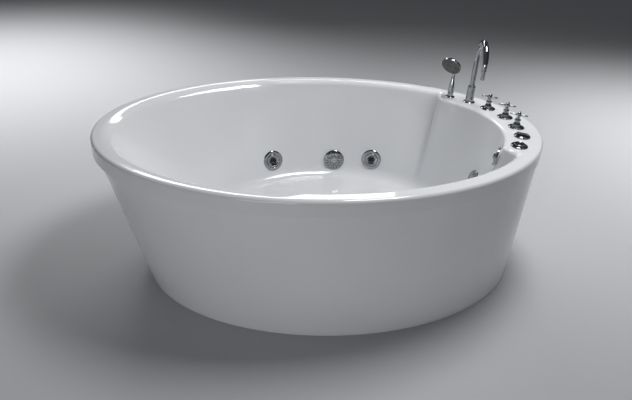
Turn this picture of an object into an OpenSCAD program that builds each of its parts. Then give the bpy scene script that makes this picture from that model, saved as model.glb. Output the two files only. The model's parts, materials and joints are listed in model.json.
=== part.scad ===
// Oval free-standing jetted bathtub with a crescent tap deck at its right end.
// Millimetres, +Z up, +X towards the tap deck, -Y towards the front.
// The origin is the centre of the rim's outline, on the floor.

/* [Tub] */
// Length of the rim's outline, along X
tub_length = 1700; // [1650:10:1800]
// Width of the rim's outline, along Y
tub_width = 1180; // [1140:10:1260]
// Height of the rim above the floor
tub_height = 600; // [585:5:640]
// Thickness of the enamelled steel sheet
sheet = 4; // [3:0.5:5]
// Width of the rim around the basin
rim_width = 60; // [56:1:70]
// Depth of the turned-down lip
lip_height = 55; // [45:1:65]
// Rounding of the rim's outer edge
rim_outer_radius = 12; // [10:1:14]
// Rounding of the rim's inner edge at the sides
rim_inner_radius = 24; // [16:1:28]
// Rounding of the rim's inner edge round the backrest
backrest_radius = 58; // [40:1:60]

/* [Basin] */
// Height of the basin's floor above the ground
basin_floor = 155; // [150:1:165]
// Distance from the rim's outline to the foot of the backrest
foot_back_inset = 370; // [360:5:380]
// Distance from the rim's outline to the foot of the wall under the deck
foot_deck_inset = 230; // [225:5:240]
// Distance from the rim's outline to the foot of the side walls
foot_side_inset = 140; // [135:1:145]
// Rounding between the walls and the floor
floor_fillet = 60; // [45:1:65]

/* [Tap deck] */
// Distance from the rim's outline to the deck's inner edge, on the X axis
deck_depth = 155; // [150:1:160]
// Distance from the rim's outline to the ellipse of the deck's inner edge, along Y
deck_side_inset = 105; // [100:1:110]
// Distance by which the deck's inner edge lies towards the front
deck_shift = 16; // [10:1:20]
// Angle of the deck's inner corner at the back
deck_back_inner = 27; // [26.5:0.1:27.5]
// Angle of the deck's outer corner at the back
deck_back_outer = 30.8; // [30:0.1:31.5]
// Angle of the deck's inner corner at the front
deck_front_inner = 22; // [21.6:0.1:22.4]
// Angle of the deck's outer corner at the front
deck_front_outer = 24; // [23.6:0.1:24.6]
// Rounding of the deck's edge
deck_edge_radius = 12; // [8:1:14]
// Distance from the rim's outline to the row of taps
fixture_inset = 88; // [84:1:92]
// Distance of the two round controls from the rim's outline
control_inset = 80; // [78:1:84]
// Angle of the hand shower on the row of taps
first_fixture = 25.9; // [25.7:0.1:26.3]
// Step from the hand shower to the spout
spout_pitch = 7.05; // [6.9:0.05:7.3]
// Step from the spout to the hot tap
hot_pitch = 7.25; // [7:0.05:7.5]
// Step between the taps
tap_pitch = 7.95; // [7.6:0.05:8]
// Step from the cold tap to the air control
air_pitch = 7.15; // [7:0.05:7.3]
// Step from the air control to the pump button
button_pitch = 7.55; // [7.4:0.05:7.7]

/* [Skirt] */
// Distance from the rim's outline to the skirt's foot at the backrest end
skirt_back_inset = 150; // [140:1:160]
// Distance from the rim's outline to the skirt's foot at the deck end
skirt_deck_inset = 10; // [6:1:20]
// Distance from the rim's outline to the skirt's foot at the sides
skirt_side_inset = 72; // [64:1:76]
// Thickness of the skirt's panel
skirt_sheet = 3; // [2:0.5:4]
// Height by which the skirt goes up behind the lip
skirt_overlap = 40; // [30:1:45]

/* [Spout] */
// Radius of the spout's flange
spout_flange_radius = 24.5; // [23:0.5:27]
// Thickness of the spout's flange
spout_flange_height = 4; // [3:0.5:6]
// Radius of the spout's body at its foot
spout_body_foot = 18.5; // [18:0.5:20]
// Radius of the spout's body at its top
spout_body_top = 16.5; // [16:0.5:18]
// Height of the spout's body
spout_body_height = 66; // [50:1:80]
// Radius of the threaded shank below the deck
spout_shank = 14; // [13:0.5:16]
// Outer radius of the neck's tube
neck_radius = 11; // [10:0.5:12]
// Wall of the neck's tube
neck_wall = 1.5; // [1:0.1:2]
// Height above the deck at which the neck's bend starts
neck_rise = 199; // [170:1:220]
// Radius of the neck's bend
neck_bend = 75; // [60:1:85]
// Straight length of the neck beyond its bend
neck_drop = 16; // [8:1:30]
// Direction in which the spout points at rest
neck_heading = -102; // [-120:0.1:-90]
// Outer radius of the aerator
aerator_radius = 8.5; // [7.5:0.1:9]
// Visible length of the aerator
aerator_length = 38; // [30:1:45]

/* [Hand shower] */
// Radius of the shower holder's flange
shower_flange_radius = 21; // [19:0.5:24]
// Thickness of the shower holder's flange
shower_flange_height = 4; // [3:0.5:6]
// Outer radius of the holder's sleeve
holder_radius = 13.5; // [13:0.5:15]
// Height of the holder's sleeve above its flange
holder_height = 18; // [14:1:24]
// Radius of the holder's threaded shank
holder_shank = 12.5; // [12:0.5:13]
// Radius of the handset's spigot in the holder
handset_spigot = 10; // [9.5:0.5:10.5]
// Height of the handset's handle above the deck
handset_height = 101; // [96:1:106]
// Radius of the handle at its neck
handset_neck = 7; // [6.5:0.5:8]
// Radius of the shower head
head_radius = 44; // [40:1:45]
// Thickness of the shower head at its rim
head_rim = 10; // [8:1:12]
// Height of the head's centre above the deck
head_height = 144; // [141:1:148]
// Distance of the head's centre in front of the handle
head_reach = 43; // [41:1:46]
// Direction that the head faces
head_heading = -136; // [-140:1:-120]
// Angle by which the head faces down
head_tilt = 34; // [30:1:36]

/* [Valves] */
// Radius of the valve's escutcheon
escutcheon_radius = 31.5; // [30:0.5:34]
// Height of the valve's escutcheon
escutcheon_height = 6; // [4:0.5:8]
// Radius of the bonnet at its foot
bonnet_foot = 15; // [14.5:0.5:17]
// Radius of the bonnet at its top
bonnet_top = 10; // [9:0.5:12]
// Height of the bonnet above the escutcheon
bonnet_height = 27; // [25:1:30]
// Radius of the valve's shank through the deck
valve_shank = 12; // [11:0.5:13]
// Radius of the valve's spindle
spindle_radius = 5; // [4:0.5:6]
// Height of the cross arms above the deck
arm_height = 52; // [50:1:58]
// Length of a cross arm from the spindle's axis
arm_length = 34; // [32:0.5:37]
// Radius of a cross arm
arm_radius = 3.4; // [3:0.1:4]
// Radius of the handle's hub
hub_radius = 9.5; // [8.5:0.5:11]
// Direction of the first cross arm
arm_heading = -36; // [-45:1:0]
// Radius of the valve's body under the deck
valve_body = 19; // [18:0.5:22]
// Height of the valve's body
valve_body_height = 50; // [40:1:60]

/* [Deck controls] */
// Radius of a control's fixed ring
control_radius = 31; // [30:0.5:32]
// Height of a control's fixed ring
control_height = 6; // [5:0.5:8]
// Radius of the recess in the ring
control_recess = 25; // [24:0.5:26]
// Depth of the recess in the ring
control_recess_depth = 3; // [2:0.5:3]
// Radius of a control's threaded shank
control_shank = 13; // [12.5:0.5:14]
// Radius of a control's stem
control_stem = 6; // [5:0.5:7]
// Height of the air control's finger bar above the deck
air_bar_top = 15; // [13:0.5:18]
// Width of the air control's finger bar
air_bar_width = 9; // [7:0.5:11]
// Radius of the pump button
button_radius = 20; // [18:0.5:22]
// Height of the pump button above the deck
button_top = 12; // [11:0.5:14]
// Travel of the pump button
button_travel = 3; // [2:0.5:4]

/* [Jets] */
// Height of the side jets above the ground
jet_height = 240; // [232:1:248]
// Angle of the two left jets from the X axis
jet_left_angle = 110.3; // [108:0.1:113]
// Angle of the two right jets from the X axis
jet_right_angle = 52.8; // [51:0.1:55]
// Height of the jet under the deck
end_jet_height = 335; // [325:1:345]
// Angle of the jet under the deck
end_jet_angle = -0.8; // [-3:0.1:3]
// Radius of a jet's flange
jet_flange = 48; // [46:0.5:50]
// Thickness of a jet's flange
jet_flange_height = 6; // [5:0.5:7]
// Radius of a jet's turning ring
jet_ring_radius = 30; // [28:0.5:32]
// Radius of a jet's threaded tube
jet_tube = 27; // [26:0.5:28]
// Radius of a jet's bore
jet_bore = 22; // [21:0.5:23]
// Radius of a jet's eyeball
eyeball_radius = 17; // [16:0.5:18]
// Radius of the hole in a jet's eyeball
eyeball_hole = 6; // [5:0.5:7]
// Depth of a jet's body behind the basin's wall
jet_body_depth = 52; // [48:1:54]
// Radius of a jet's body
jet_body = 30; // [29:0.5:32]

/* [Suction] */
// Height of the suction grille above the ground
suction_height = 225; // [220:1:235]
// Angle of the suction grille from the X axis
suction_angle = 73; // [70:0.1:76]
// Radius of the suction grille
suction_radius = 49; // [46:0.5:52]
// Height of the suction grille's dome
suction_dome = 12; // [9:0.5:14]
// Number of slots in the suction grille
suction_slots = 16; // [8:1:20]

/* [Overflow and waste] */
// Distance from the rim down to the middle of the overflow knob
overflow_drop = 54; // [52:1:60]
// Angle of the overflow knob from the X axis
overflow_angle = -18.6; // [-18.8:0.1:-17]
// Radius of the overflow knob
overflow_radius = 36.5; // [35:0.5:38]
// Radius of the overflow's tube through the wall
overflow_tube = 22; // [21:0.5:23]
// Radius of the overflow's down pipe
overflow_pipe_radius = 16; // [14:0.5:18]
// Distance from the rim's outline to the waste, along X
waste_deck_inset = 380; // [375:1:390]
// Place of the waste along Y
waste_y = -140; // [-146:1:-134]
// Radius of the waste's flange
waste_radius = 35; // [32:0.5:38]
// Radius of the waste's tube through the floor
waste_tube = 24; // [22:0.5:25]
// Lift of the plug
plug_lift = 10; // [8:1:12]
// Radius of the trap's outlet
outlet_radius = 20; // [19:0.5:21]

/* [Frame] */
// Side of the frame's square tube
rail = 40; // [36:1:40]
// Wall of the frame's square tube
rail_wall = 2; // [1.5:0.5:3]
// Height of the frame's underside above the floor
rail_height = 45; // [40:1:50]
// Distance of each long rail from the X axis
rail_spread = 200; // [195:1:210]
// Distance from the rim's outline to the rails' left ends
rail_back_inset = 215; // [210:1:225]
// Distance from the rim's outline to the rails' right ends
rail_deck_inset = 160; // [155:1:170]
// Radius of a foot's pad
foot_radius = 25; // [22:1:28]
// Radius of a foot's stud
foot_stud = 6; // [5:0.5:8]
// Thickness of a support pad
pad_height = 5; // [4:0.5:8]
// Side of a support post
post = 30; // [25:1:35]

/* [Pump] */
// Distance from the rim's outline to the pump's axis
pump_back_inset = 280; // [276:1:286]
// Height of the pump's axis above the rails
pump_rise = 75; // [73:1:78]
// Radius of the pump's housing
pump_radius = 70; // [66:1:71]
// Radius of the pump's motor
motor_radius = 60; // [54:1:62]
// Length of the pump's motor
motor_length = 215; // [200:1:225]
// Width of the pump's housing
pump_width = 55; // [50:1:60]
// Place of the joint between motor and housing, along Y
pump_joint = 115; // [110:1:118]
// Radius of the pump's shaft
shaft_radius = 7; // [6:0.5:9]

/* [Pipes] */
// Radius of the suction pipe
suction_pipe_radius = 20; // [18:0.5:21]
// Radius of the water pipe
water_pipe_radius = 13; // [11:0.5:14]
// Radius of the air pipe
air_pipe_radius = 7; // [6:0.5:8]
// Distance of the pipe runs from the skirt
pipe_inset = 18; // [16:1:20]
// Height of the water pipe's run
water_run = 145; // [140:1:150]
// Height of the air pipe's run
air_run = 300; // [292:1:305]
// Radius of a supply pipe
supply_radius = 8; // [7:0.5:9]
// Height of the supply pipes' lower ends
supply_end = 30; // [20:1:40]

/* [Fits] */
// Radial clearance of a piece that turns or slides in another
running_fit = 0.05; // [0.03:0.01:0.1]
// Clearance between pieces that pass each other
loose_fit = 0.3; // [0.3:0.05:0.5]
// Radial clearance of a screwed or pushed-in joint
thread_fit = 0.1; // [0.05:0.05:0.2]

/* [Hidden] */
$fn = 64;

enamel = "white";
chrome = "silver";
dark = "dimgray";
plastic = "gainsboro";

// Half lengths of the outline and of the ellipses drawn in from it
half_length = tub_length / 2;
half_width = tub_width / 2;
floor_a = half_length - (foot_back_inset + foot_deck_inset) / 2;
floor_b = half_width - foot_side_inset;
floor_shift = (foot_back_inset - foot_deck_inset) / 2;
skirt_a = half_length - (skirt_back_inset + skirt_deck_inset) / 2;
skirt_b = half_width - skirt_side_inset;
skirt_shift = (skirt_back_inset - skirt_deck_inset) / 2;
skirt_top = tub_height - lip_height + skirt_overlap;
skirt_gap = sheet + loose_fit;
underside = basin_floor - sheet;
overflow_height = tub_height - overflow_drop;

// Polar radius, from the origin, of an ellipse with its centre at shift along X and at aside along Y
function ellipse_r(a, b, shift, th, aside = 0) =
  let (
    ka = pow(cos(th) / a, 2) + pow(sin(th) / b, 2),
    kb = -2 * (shift * cos(th) / (a * a) + aside * sin(th) / (b * b)),
    kc = pow(shift / a, 2) + pow(aside / b, 2) - 1
  )
  (-kb + sqrt(kb * kb - 4 * ka * kc)) / (2 * ka);

function ease(t) = let (u = min(1, max(0, t))) u * u * (3 - 2 * u);
function polar(th, r, z) = [r * cos(th), r * sin(th), z];

// The rim, the basin's opening with or without the deck, and the foot of its walls
function rim_r(th) = ellipse_r(half_length, half_width, 0, th);
function opening_r(th, deck) = deck
  ? ellipse_r(half_length - deck_depth, half_width - deck_side_inset, 0, th, -deck_shift)
  : ellipse_r(half_length - rim_width, half_width - rim_width, 0, th);
function foot_r(th) = ellipse_r(floor_a, floor_b, floor_shift, th);
function on_deck(th) = th > -deck_front_inner && th < deck_back_inner;
function wall_r(th, z) =
  let (open = opening_r(th, on_deck(th)), foot = foot_r(th))
  foot + (open - foot) * (z - basin_floor) / (tub_height - basin_floor);
function lean(th, deck) = atan((opening_r(th, deck) - foot_r(th)) / (tub_height - basin_floor));

// The roll into the basin is large round the backrest and small along the rest of the rim
backrest_from = 104;
backrest_blend = 10;
function roll_r(th, deck) = deck ? deck_edge_radius
  : rim_inner_radius + (backrest_radius - rim_inner_radius) * ease((abs(th) - backrest_from) / backrest_blend);

// The sheet's upper face at one angle, from the lip's foot to the edge of the floor.
// Each entry holds radius, height and the outward normal in that plane.
roll_steps = 4;
edge_steps = 3;
function profile(th, deck) =
  let (
    rim = rim_r(th),
    open = opening_r(th, deck),
    foot = foot_r(th),
    turn = 90 - lean(th, deck),
    roll = roll_r(th, deck),
    roll_centre = open + roll * tan(turn / 2),
    fillet_centre = foot - floor_fillet * tan(turn / 2)
  )
  concat(
    [[rim, tub_height - lip_height, 1, 0]],
    [for (k = [0:edge_steps]) let (p = 90 * k / edge_steps)
      [rim - rim_outer_radius * (1 - cos(p)), tub_height - rim_outer_radius * (1 - sin(p)), cos(p), sin(p)]],
    [for (k = [0:roll_steps]) let (p = turn * k / roll_steps)
      [roll_centre - roll * sin(p), tub_height - roll * (1 - cos(p)), -sin(p), cos(p)]],
    [for (k = [0:roll_steps]) let (p = turn * (1 - k / roll_steps))
      [fillet_centre + floor_fillet * sin(p), basin_floor + floor_fillet * (1 - cos(p)), -sin(p), cos(p)]]
  );
profile_points = 1 + (edge_steps + 1) + 2 * (roll_steps + 1);

// Angles round the tub: [angle of the upper face, on the deck or not, angle of the underside].
// At each end of the deck the underside's wall stands one sheet further in under the deck.
ring_steps = 72;
end_margin = 2;
under_step = sheet / (half_length - deck_depth) * 180 / PI;
plain_angles = [for (i = [0:ring_steps - 1]) -180 + i * 360 / ring_steps];
ring_angles = concat(
  [for (th = plain_angles) if (th < -deck_front_outer - end_margin) [th, false, th]],
  [[-deck_front_outer, false, -deck_front_outer + under_step]],
  [[-deck_front_inner, true, -deck_front_inner + under_step]],
  [for (th = plain_angles) if (th > -deck_front_inner + end_margin && th < deck_back_inner - end_margin) [th, true, th]],
  [[deck_back_inner, true, deck_back_inner - under_step]],
  [[deck_back_outer, false, deck_back_outer - under_step]],
  [for (th = plain_angles) if (th > deck_back_outer + end_margin) [th, false, th]]
);

// Skirt, as a straight line at each angle from its foot to its top behind the lip
function skirt_foot_r(th) = ellipse_r(skirt_a, skirt_b, skirt_shift, th);
function skirt_top_r(th) = ellipse_r(half_length - skirt_gap, half_width - skirt_gap, 0, th);
function skirt_r(th, z) = skirt_foot_r(th) + (skirt_top_r(th) - skirt_foot_r(th)) * z / skirt_top;
function skirt_inner_r(th, z) = skirt_r(th, z) - skirt_sheet;

// Place and direction of a fitting on the basin's wall
function wall_point(th, z) = polar(th, wall_r(th, z), z);
function wall_normal(th, z) =
  let (
    step = 0.5,
    around = (wall_r(th + step, z) - wall_r(th - step, z)) / (2 * step * PI / 180) / wall_r(th, z),
    up = (opening_r(th, on_deck(th)) - foot_r(th)) / (tub_height - basin_floor),
    n = [-cos(th) - around * sin(th), -sin(th) + around * cos(th), up]
  )
  n / norm(n);
function behind_wall(th, z, depth) = wall_point(th, z) - depth * wall_normal(th, z);

module on_wall(th, z) {
  n = wall_normal(th, z);
  translate(wall_point(th, z)) rotate([0, acos(n[2]), atan2(n[1], n[0])]) children();
}

// Row of taps and controls on the deck
function row_point(th, inset = fixture_inset) =
  polar(th, ellipse_r(half_length - inset, half_width - inset, 0, th), tub_height);
shower_at = row_point(first_fixture);
spout_place = first_fixture - spout_pitch;
hot_place = spout_place - hot_pitch;
cold_place = hot_place - 2 * tap_pitch;
spout_at = row_point(spout_place);
hot_at = row_point(hot_place);
diverter_at = row_point(hot_place - tap_pitch);
cold_at = row_point(cold_place);
air_at = row_point(cold_place - air_pitch, control_inset);
button_at = row_point(cold_place - air_pitch - button_pitch, control_inset);
valve_places = [hot_at, diverter_at, cold_at];
control_places = [air_at, button_at];

// Jets: angle and height on the wall
jet_places = [
  [jet_left_angle, jet_height],
  [jet_right_angle, jet_height],
  [-jet_left_angle, jet_height],
  [-jet_right_angle, jet_height],
  [end_jet_angle, end_jet_height]
];

waste_at = [half_length - waste_deck_inset, waste_y, basin_floor];
pump_x = -half_length + pump_back_inset;
rail_top = rail_height + rail;
pump_z = rail_top + pump_rise;

// Flat seats for the wall fittings, let into the curved wall
seat_rise = 0.2;
seat_back = 9;
seat_margin = 1;
seat_wall = 2;

module rod(from, to, r) {
  d = to - from;
  length = norm(d);
  translate(from) rotate([0, acos(d[2] / length), atan2(d[1], d[0])]) cylinder(r = r, h = length);
}

// Straight lengths joined by slightly fuller elbows, whose poles stand square to the bend
elbow = 1;
function unit(v) = v / norm(v);
module pipe(points, r) {
  for (i = [0:len(points) - 2]) rod(points[i], points[i + 1], r);
  for (i = [1:len(points) - 2]) {
    back = unit(points[i - 1] - points[i]);
    on = unit(points[i + 1] - points[i]);
    pole = unit(cross(back, on));
    outer = -unit(back + on);
    tilt = acos(pole[2]);
    heading = atan2(pole[1], pole[0]);
    side = [cos(tilt) * cos(heading), cos(tilt) * sin(heading), -sin(tilt)];
    translate(points[i]) rotate([0, tilt, heading])
      rotate([0, 0, atan2(outer * cross(pole, side), outer * side)]) sphere(r = r + elbow);
  }
}

module hex(across, h) {
  cylinder(r = across / sqrt(3), h = h, $fn = 6);
}

// Shell
// The walls and the floor meet at the foot of the fillet, square to the sheet.
function floor_edge(entry) =
  let (p = profile(entry[0], entry[1])[profile_points - 1]) [p[0] * cos(entry[0]), p[0] * sin(entry[0])];
function shell_column(entry) =
  let (edge = floor_edge(entry), under = profile(entry[2], entry[1]))
  concat(
    [for (p = profile(entry[0], entry[1])) polar(entry[0], p[0], p[1])],
    [for (i = [0:profile_points - 2]) let (p = under[i])
      polar(entry[2], p[0] - sheet * p[2], p[1] - sheet * p[3])],
    [[edge[0], edge[1], underside]]
  );

module shell_sheet() {
  m = profile_points;
  n = len(ring_angles);
  points = [for (entry = ring_angles) each shell_column(entry)];
  faces = concat(
    [for (j = [0:n - 1]) let (a = j * 2 * m, b = ((j + 1) % n) * 2 * m) for (i = [0:m - 2])
      each [[a + i, b + i + 1, b + i], [a + i, a + i + 1, b + i + 1]]],
    [for (j = [0:n - 1]) let (a = j * 2 * m + m, b = ((j + 1) % n) * 2 * m + m) for (i = [0:m - 2])
      each [[a + i, b + i, b + i + 1], [a + i, b + i + 1, a + i + 1]]],
    [for (j = [0:n - 1]) let (a = j * 2 * m, b = ((j + 1) % n) * 2 * m)
      each [[a, b, b + m], [a, b + m, a + m]]],
    [for (j = [0:n - 1]) let (a = j * 2 * m + m - 1, b = ((j + 1) % n) * 2 * m + m - 1)
      each [[a, b + m, b], [a, a + m, b + m]]]
  );
  polyhedron(points = points, faces = faces, convexity = 6);
}

module deck_hole(at, r) {
  translate(at + [0, 0, -2 * sheet]) cylinder(r = r + loose_fit, h = 4 * sheet);
}

module wall_hole(th, z, r) {
  on_wall(th, z) translate([0, 0, -2 * seat_back]) cylinder(r = r + loose_fit, h = 3 * seat_back);
}

module wall_seat(th, z, r) {
  on_wall(th, z) translate([0, 0, -seat_back])
    cylinder(r = r + seat_margin + seat_wall, h = seat_back + seat_rise);
}

module wall_pocket(th, z, r) {
  on_wall(th, z) translate([0, 0, seat_rise]) cylinder(r = r + seat_margin, h = 2 * seat_back);
}

module tub_shell() {
  color(enamel) difference() {
    union() {
      shell_sheet();
      for (j = jet_places) wall_seat(j[0], j[1], jet_flange);
      wall_seat(suction_angle, suction_height, suction_radius);
      wall_seat(overflow_angle, overflow_height, overflow_flange);
    }
    for (j = jet_places) wall_pocket(j[0], j[1], jet_flange);
    wall_pocket(suction_angle, suction_height, suction_radius);
    wall_pocket(overflow_angle, overflow_height, overflow_flange);
    for (j = jet_places) wall_hole(j[0], j[1], jet_tube);
    wall_hole(suction_angle, suction_height, jet_tube);
    wall_hole(overflow_angle, overflow_height, overflow_tube);
    deck_hole(shower_at, holder_shank);
    deck_hole(spout_at, spout_shank);
    for (at = valve_places) deck_hole(at, valve_shank);
    for (at = control_places) deck_hole(at, control_shank);
  }
}

module waste_hole() {
  translate([waste_at[0], waste_at[1], underside - sheet]) cylinder(r = waste_tube + loose_fit, h = 3 * sheet);
}

module tub_floor() {
  color(enamel) difference() {
    translate([0, 0, underside]) linear_extrude(sheet) polygon([for (entry = ring_angles) floor_edge(entry)]);
    waste_hole();
  }
}

// Skirt
module skirt() {
  n = len(ring_angles);
  points = [for (entry = ring_angles) let (th = entry[0])
    each [polar(th, skirt_foot_r(th), 0), polar(th, skirt_top_r(th), skirt_top),
      polar(th, skirt_top_r(th) - skirt_sheet, skirt_top), polar(th, skirt_foot_r(th) - skirt_sheet, 0)]];
  faces = [for (j = [0:n - 1]) let (a = 4 * j, b = 4 * ((j + 1) % n)) for (i = [0:3]) let (k = (i + 1) % 4)
    each [[a + i, a + k, b + k], [a + i, b + k, b + i]]];
  color(enamel) polyhedron(points = points, faces = faces, convexity = 6);
}

// Frame
rail_left = -half_length + rail_back_inset;
rail_right = half_length - rail_deck_inset;
pump_bar = 36;
rail_middle = (rail_left + rail_right) / 2;
middle_bar = 130;
right_bar = 250;
left_post = 335;
middle_post = 70;
right_post = 240;
left_foot = 90;
middle_foot = 30;
right_foot = 70;
bar_places = [pump_x - pump_bar, pump_x + pump_bar, rail_middle - middle_bar, rail_middle + right_bar, rail_right - rail / 2];
post_places = [rail_left + left_post, rail_middle + middle_post, rail_right - right_post];
foot_places = [rail_left + left_foot, rail_middle - middle_foot, rail_right - right_foot];
post_top = underside - pad_height;
nut_height = 12;

module square_tube(length) {
  difference() {
    translate([0, -rail / 2, 0]) cube([length, rail, rail]);
    translate([-1, -rail / 2 + rail_wall, rail_wall])
      cube([length + 2, rail - 2 * rail_wall, rail - 2 * rail_wall]);
  }
}

module base_frame() {
  color(dark) difference() {
    union() {
      for (side = [-1, 1]) translate([rail_left, side * rail_spread, rail_height])
        square_tube(rail_right - rail_left);
      for (x = bar_places) translate([x, -rail_spread + rail / 2, rail_height])
        rotate([0, 0, 90]) square_tube(2 * rail_spread - rail);
      for (x = post_places) for (side = [-1, 1])
        translate([x - post / 2, side * rail_spread - post / 2, rail_top - rail_wall])
          cube([post, post, post_top - rail_top + rail_wall]);
    }
    for (x = foot_places) for (side = [-1, 1]) translate([x, side * rail_spread, rail_height - 1])
      cylinder(r = foot_stud + loose_fit, h = rail_wall + 2);
  }
}

module levelling_feet() {
  pad = 8;
  color(dark) for (x = foot_places) for (side = [-1, 1]) translate([x, side * rail_spread, 0]) {
    cylinder(r1 = foot_radius, r2 = foot_radius - 5, h = pad);
    cylinder(r = foot_stud, h = rail_height + rail / 2);
    difference() {
      translate([0, 0, rail_height - nut_height]) hex(3.2 * foot_stud, nut_height);
      translate([0, 0, rail_height - nut_height - 1]) cylinder(r = foot_stud + thread_fit, h = nut_height + 2);
    }
  }
}

module support_pads() {
  color("black") for (x = post_places) for (side = [-1, 1])
    translate([x - post / 2 - 3, side * rail_spread - post / 2 - 3, post_top])
      cube([post + 6, post + 6, pad_height]);
}

// Spout
body_base = spout_flange_height;
body_end = body_base + spout_body_height;
shank_length = 58;
neck_depth = 46;

module spout_flange() {
  color(chrome) translate(spout_at) rotate_extrude() polygon([
    [spout_shank + thread_fit, 0], [spout_flange_radius, 0], [spout_flange_radius, 1.5],
    [spout_flange_radius - 2, spout_flange_height], [spout_shank + thread_fit, spout_flange_height]
  ]);
}

module spout_body() {
  color(chrome) translate(spout_at) difference() {
    union() {
      translate([0, 0, body_base]) cylinder(r1 = spout_body_foot, r2 = spout_body_top, h = spout_body_height);
      translate([0, 0, -shank_length]) cylinder(r = spout_shank, h = shank_length + body_base + 1);
    }
    translate([0, 0, body_end - neck_depth]) cylinder(r = neck_radius + running_fit, h = neck_depth + 1);
    translate([0, 0, -shank_length - 1]) cylinder(r = neck_radius - 2 * neck_wall, h = shank_length + body_end);
  }
}

module at_bend_end() {
  translate([2 * neck_bend, 0, neck_rise]) children();
}

module neck_path(r, end) {
  translate([0, 0, neck_rise]) rotate([90, 0, 0]) translate([neck_bend, 0, 0])
    rotate_extrude(angle = 180, $fn = 96) translate([neck_bend, 0]) circle(r = r);
  at_bend_end() translate([0, 0, -neck_drop - end]) cylinder(r = r, h = neck_drop + end);
}

module spout_neck() {
  bottom = body_end - neck_depth + loose_fit;
  collar = 5;
  color(chrome) translate(spout_at) rotate([0, 0, neck_heading]) difference() {
    union() {
      translate([0, 0, bottom]) cylinder(r = neck_radius, h = neck_rise - bottom);
      translate([0, 0, body_end + loose_fit]) cylinder(r = spout_body_top - 3, h = collar);
      neck_path(neck_radius, 0);
    }
    translate([0, 0, bottom - 1]) cylinder(r = neck_radius - neck_wall, h = neck_rise - bottom + 1);
    neck_path(neck_radius - neck_wall, 1);
  }
}

module spout_aerator() {
  plug = 9;
  color(chrome) translate(spout_at) rotate([0, 0, neck_heading])
    at_bend_end() translate([0, 0, -neck_drop]) difference() {
      union() {
        translate([0, 0, -aerator_length]) cylinder(r = aerator_radius, h = aerator_length + 1);
        cylinder(r = neck_radius - neck_wall - thread_fit, h = plug);
        translate([0, 0, -3 - thread_fit]) cylinder(r = neck_radius, h = 3);
      }
      translate([0, 0, -aerator_length - 1]) cylinder(r = aerator_radius - 2, h = aerator_length + plug + 2);
    }
}

// Hand shower
holder_base = shower_flange_height;
holder_end = holder_base + holder_height;
handset_depth = 62;
head_socket = 14;
handset_grip = 28;
handset_belly = holder_radius - 1.5;
handset_taper = handset_height - head_socket - holder_end - loose_fit;

module shower_flange() {
  color(chrome) translate(shower_at) rotate_extrude() polygon([
    [holder_shank + thread_fit, 0], [shower_flange_radius, 0], [shower_flange_radius, 1.5],
    [shower_flange_radius - 2, shower_flange_height], [holder_shank + thread_fit, shower_flange_height]
  ]);
}

module shower_holder() {
  color(chrome) translate(shower_at) difference() {
    union() {
      translate([0, 0, holder_base]) cylinder(r = holder_radius, h = holder_height);
      translate([0, 0, -shank_length]) cylinder(r = holder_shank, h = shank_length + holder_base + 1);
    }
    translate([0, 0, -shank_length - 1])
      cylinder(r = handset_spigot + running_fit, h = shank_length + holder_end + 2);
  }
}

module shower_handle() {
  foot = holder_end - handset_depth;
  color(chrome) translate(shower_at) difference() {
    union() {
      translate([0, 0, foot]) cylinder(r = handset_spigot, h = handset_depth + 1);
      translate([0, 0, holder_end + loose_fit]) cylinder(r1 = holder_radius, r2 = handset_belly, h = handset_grip);
      translate([0, 0, holder_end + loose_fit + handset_grip])
        cylinder(r1 = handset_belly, r2 = handset_neck, h = handset_taper - handset_grip);
      translate([0, 0, holder_end + loose_fit + handset_taper - 1])
        cylinder(r = handset_neck, h = head_socket + 1);
    }
    translate([0, 0, foot - 1]) cylinder(r = handset_neck - 3, h = handset_height - foot + 2);
  }
}

module on_head() {
  translate(shower_at + [head_reach * cos(head_heading), head_reach * sin(head_heading), head_height])
    rotate([0, 90 + head_tilt, head_heading]) children();
}

spray_recess = 2;
spray_margin = 4;
head_dome = 8;

module shower_head() {
  color(chrome) difference() {
    union() {
      on_head() rotate_extrude() polygon(concat(
        [[0, 0], [head_radius - 1, 0], [head_radius, -1], [head_radius, -head_rim + 3]],
        [for (k = [0:6]) let (p = 90 * k / 6)
          [head_radius * cos(p), -head_rim + 3 - (head_dome + 3) * sin(p)]]
      ));
      hull() {
        translate(shower_at + [0, 0, handset_height]) cylinder(r = handset_neck, h = 1, $fn = 32);
        on_head() translate([head_radius * 0.45, 0, -head_rim - head_dome / 2])
          cylinder(r = 15, h = 2, $fn = 32);
      }
    }
    on_head() translate([0, 0, -spray_recess]) cylinder(r = head_radius - spray_margin, h = spray_recess + 2);
    translate(shower_at + [0, 0, handset_height - 2 * head_socket])
      cylinder(r = handset_neck + thread_fit, h = 2 * head_socket);
  }
}

module spray_plate() {
  nozzle_rows = 3;
  color(dark) on_head() {
    translate([0, 0, -spray_recess]) cylinder(r = head_radius - spray_margin - thread_fit, h = spray_recess);
    for (row = [1:nozzle_rows]) for (k = [0:6 * row - 1])
      rotate([0, 0, k * 60 / row]) translate([row * 11, 0, -0.5]) cylinder(r = 1.4, h = 1.5, $fn = 16);
  }
}

// Valves
bonnet_base = escutcheon_height;
bonnet_end = bonnet_base + bonnet_height;
spindle_foot = 14;
valve_neck = 22;

module escutcheon(at) {
  color(chrome) translate(at) rotate_extrude() polygon(concat(
    [[valve_shank + thread_fit, 0], [escutcheon_radius, 0]],
    [for (k = [0:5]) let (p = 90 * k / 5)
      [escutcheon_radius - 8 * (1 - cos(p)), 1 + (escutcheon_height - 2) * sin(p)]],
    [[bonnet_foot + 2, escutcheon_height - 0.5], [bonnet_foot + 1, escutcheon_height],
      [valve_shank + thread_fit, escutcheon_height]]
  ));
}

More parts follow.
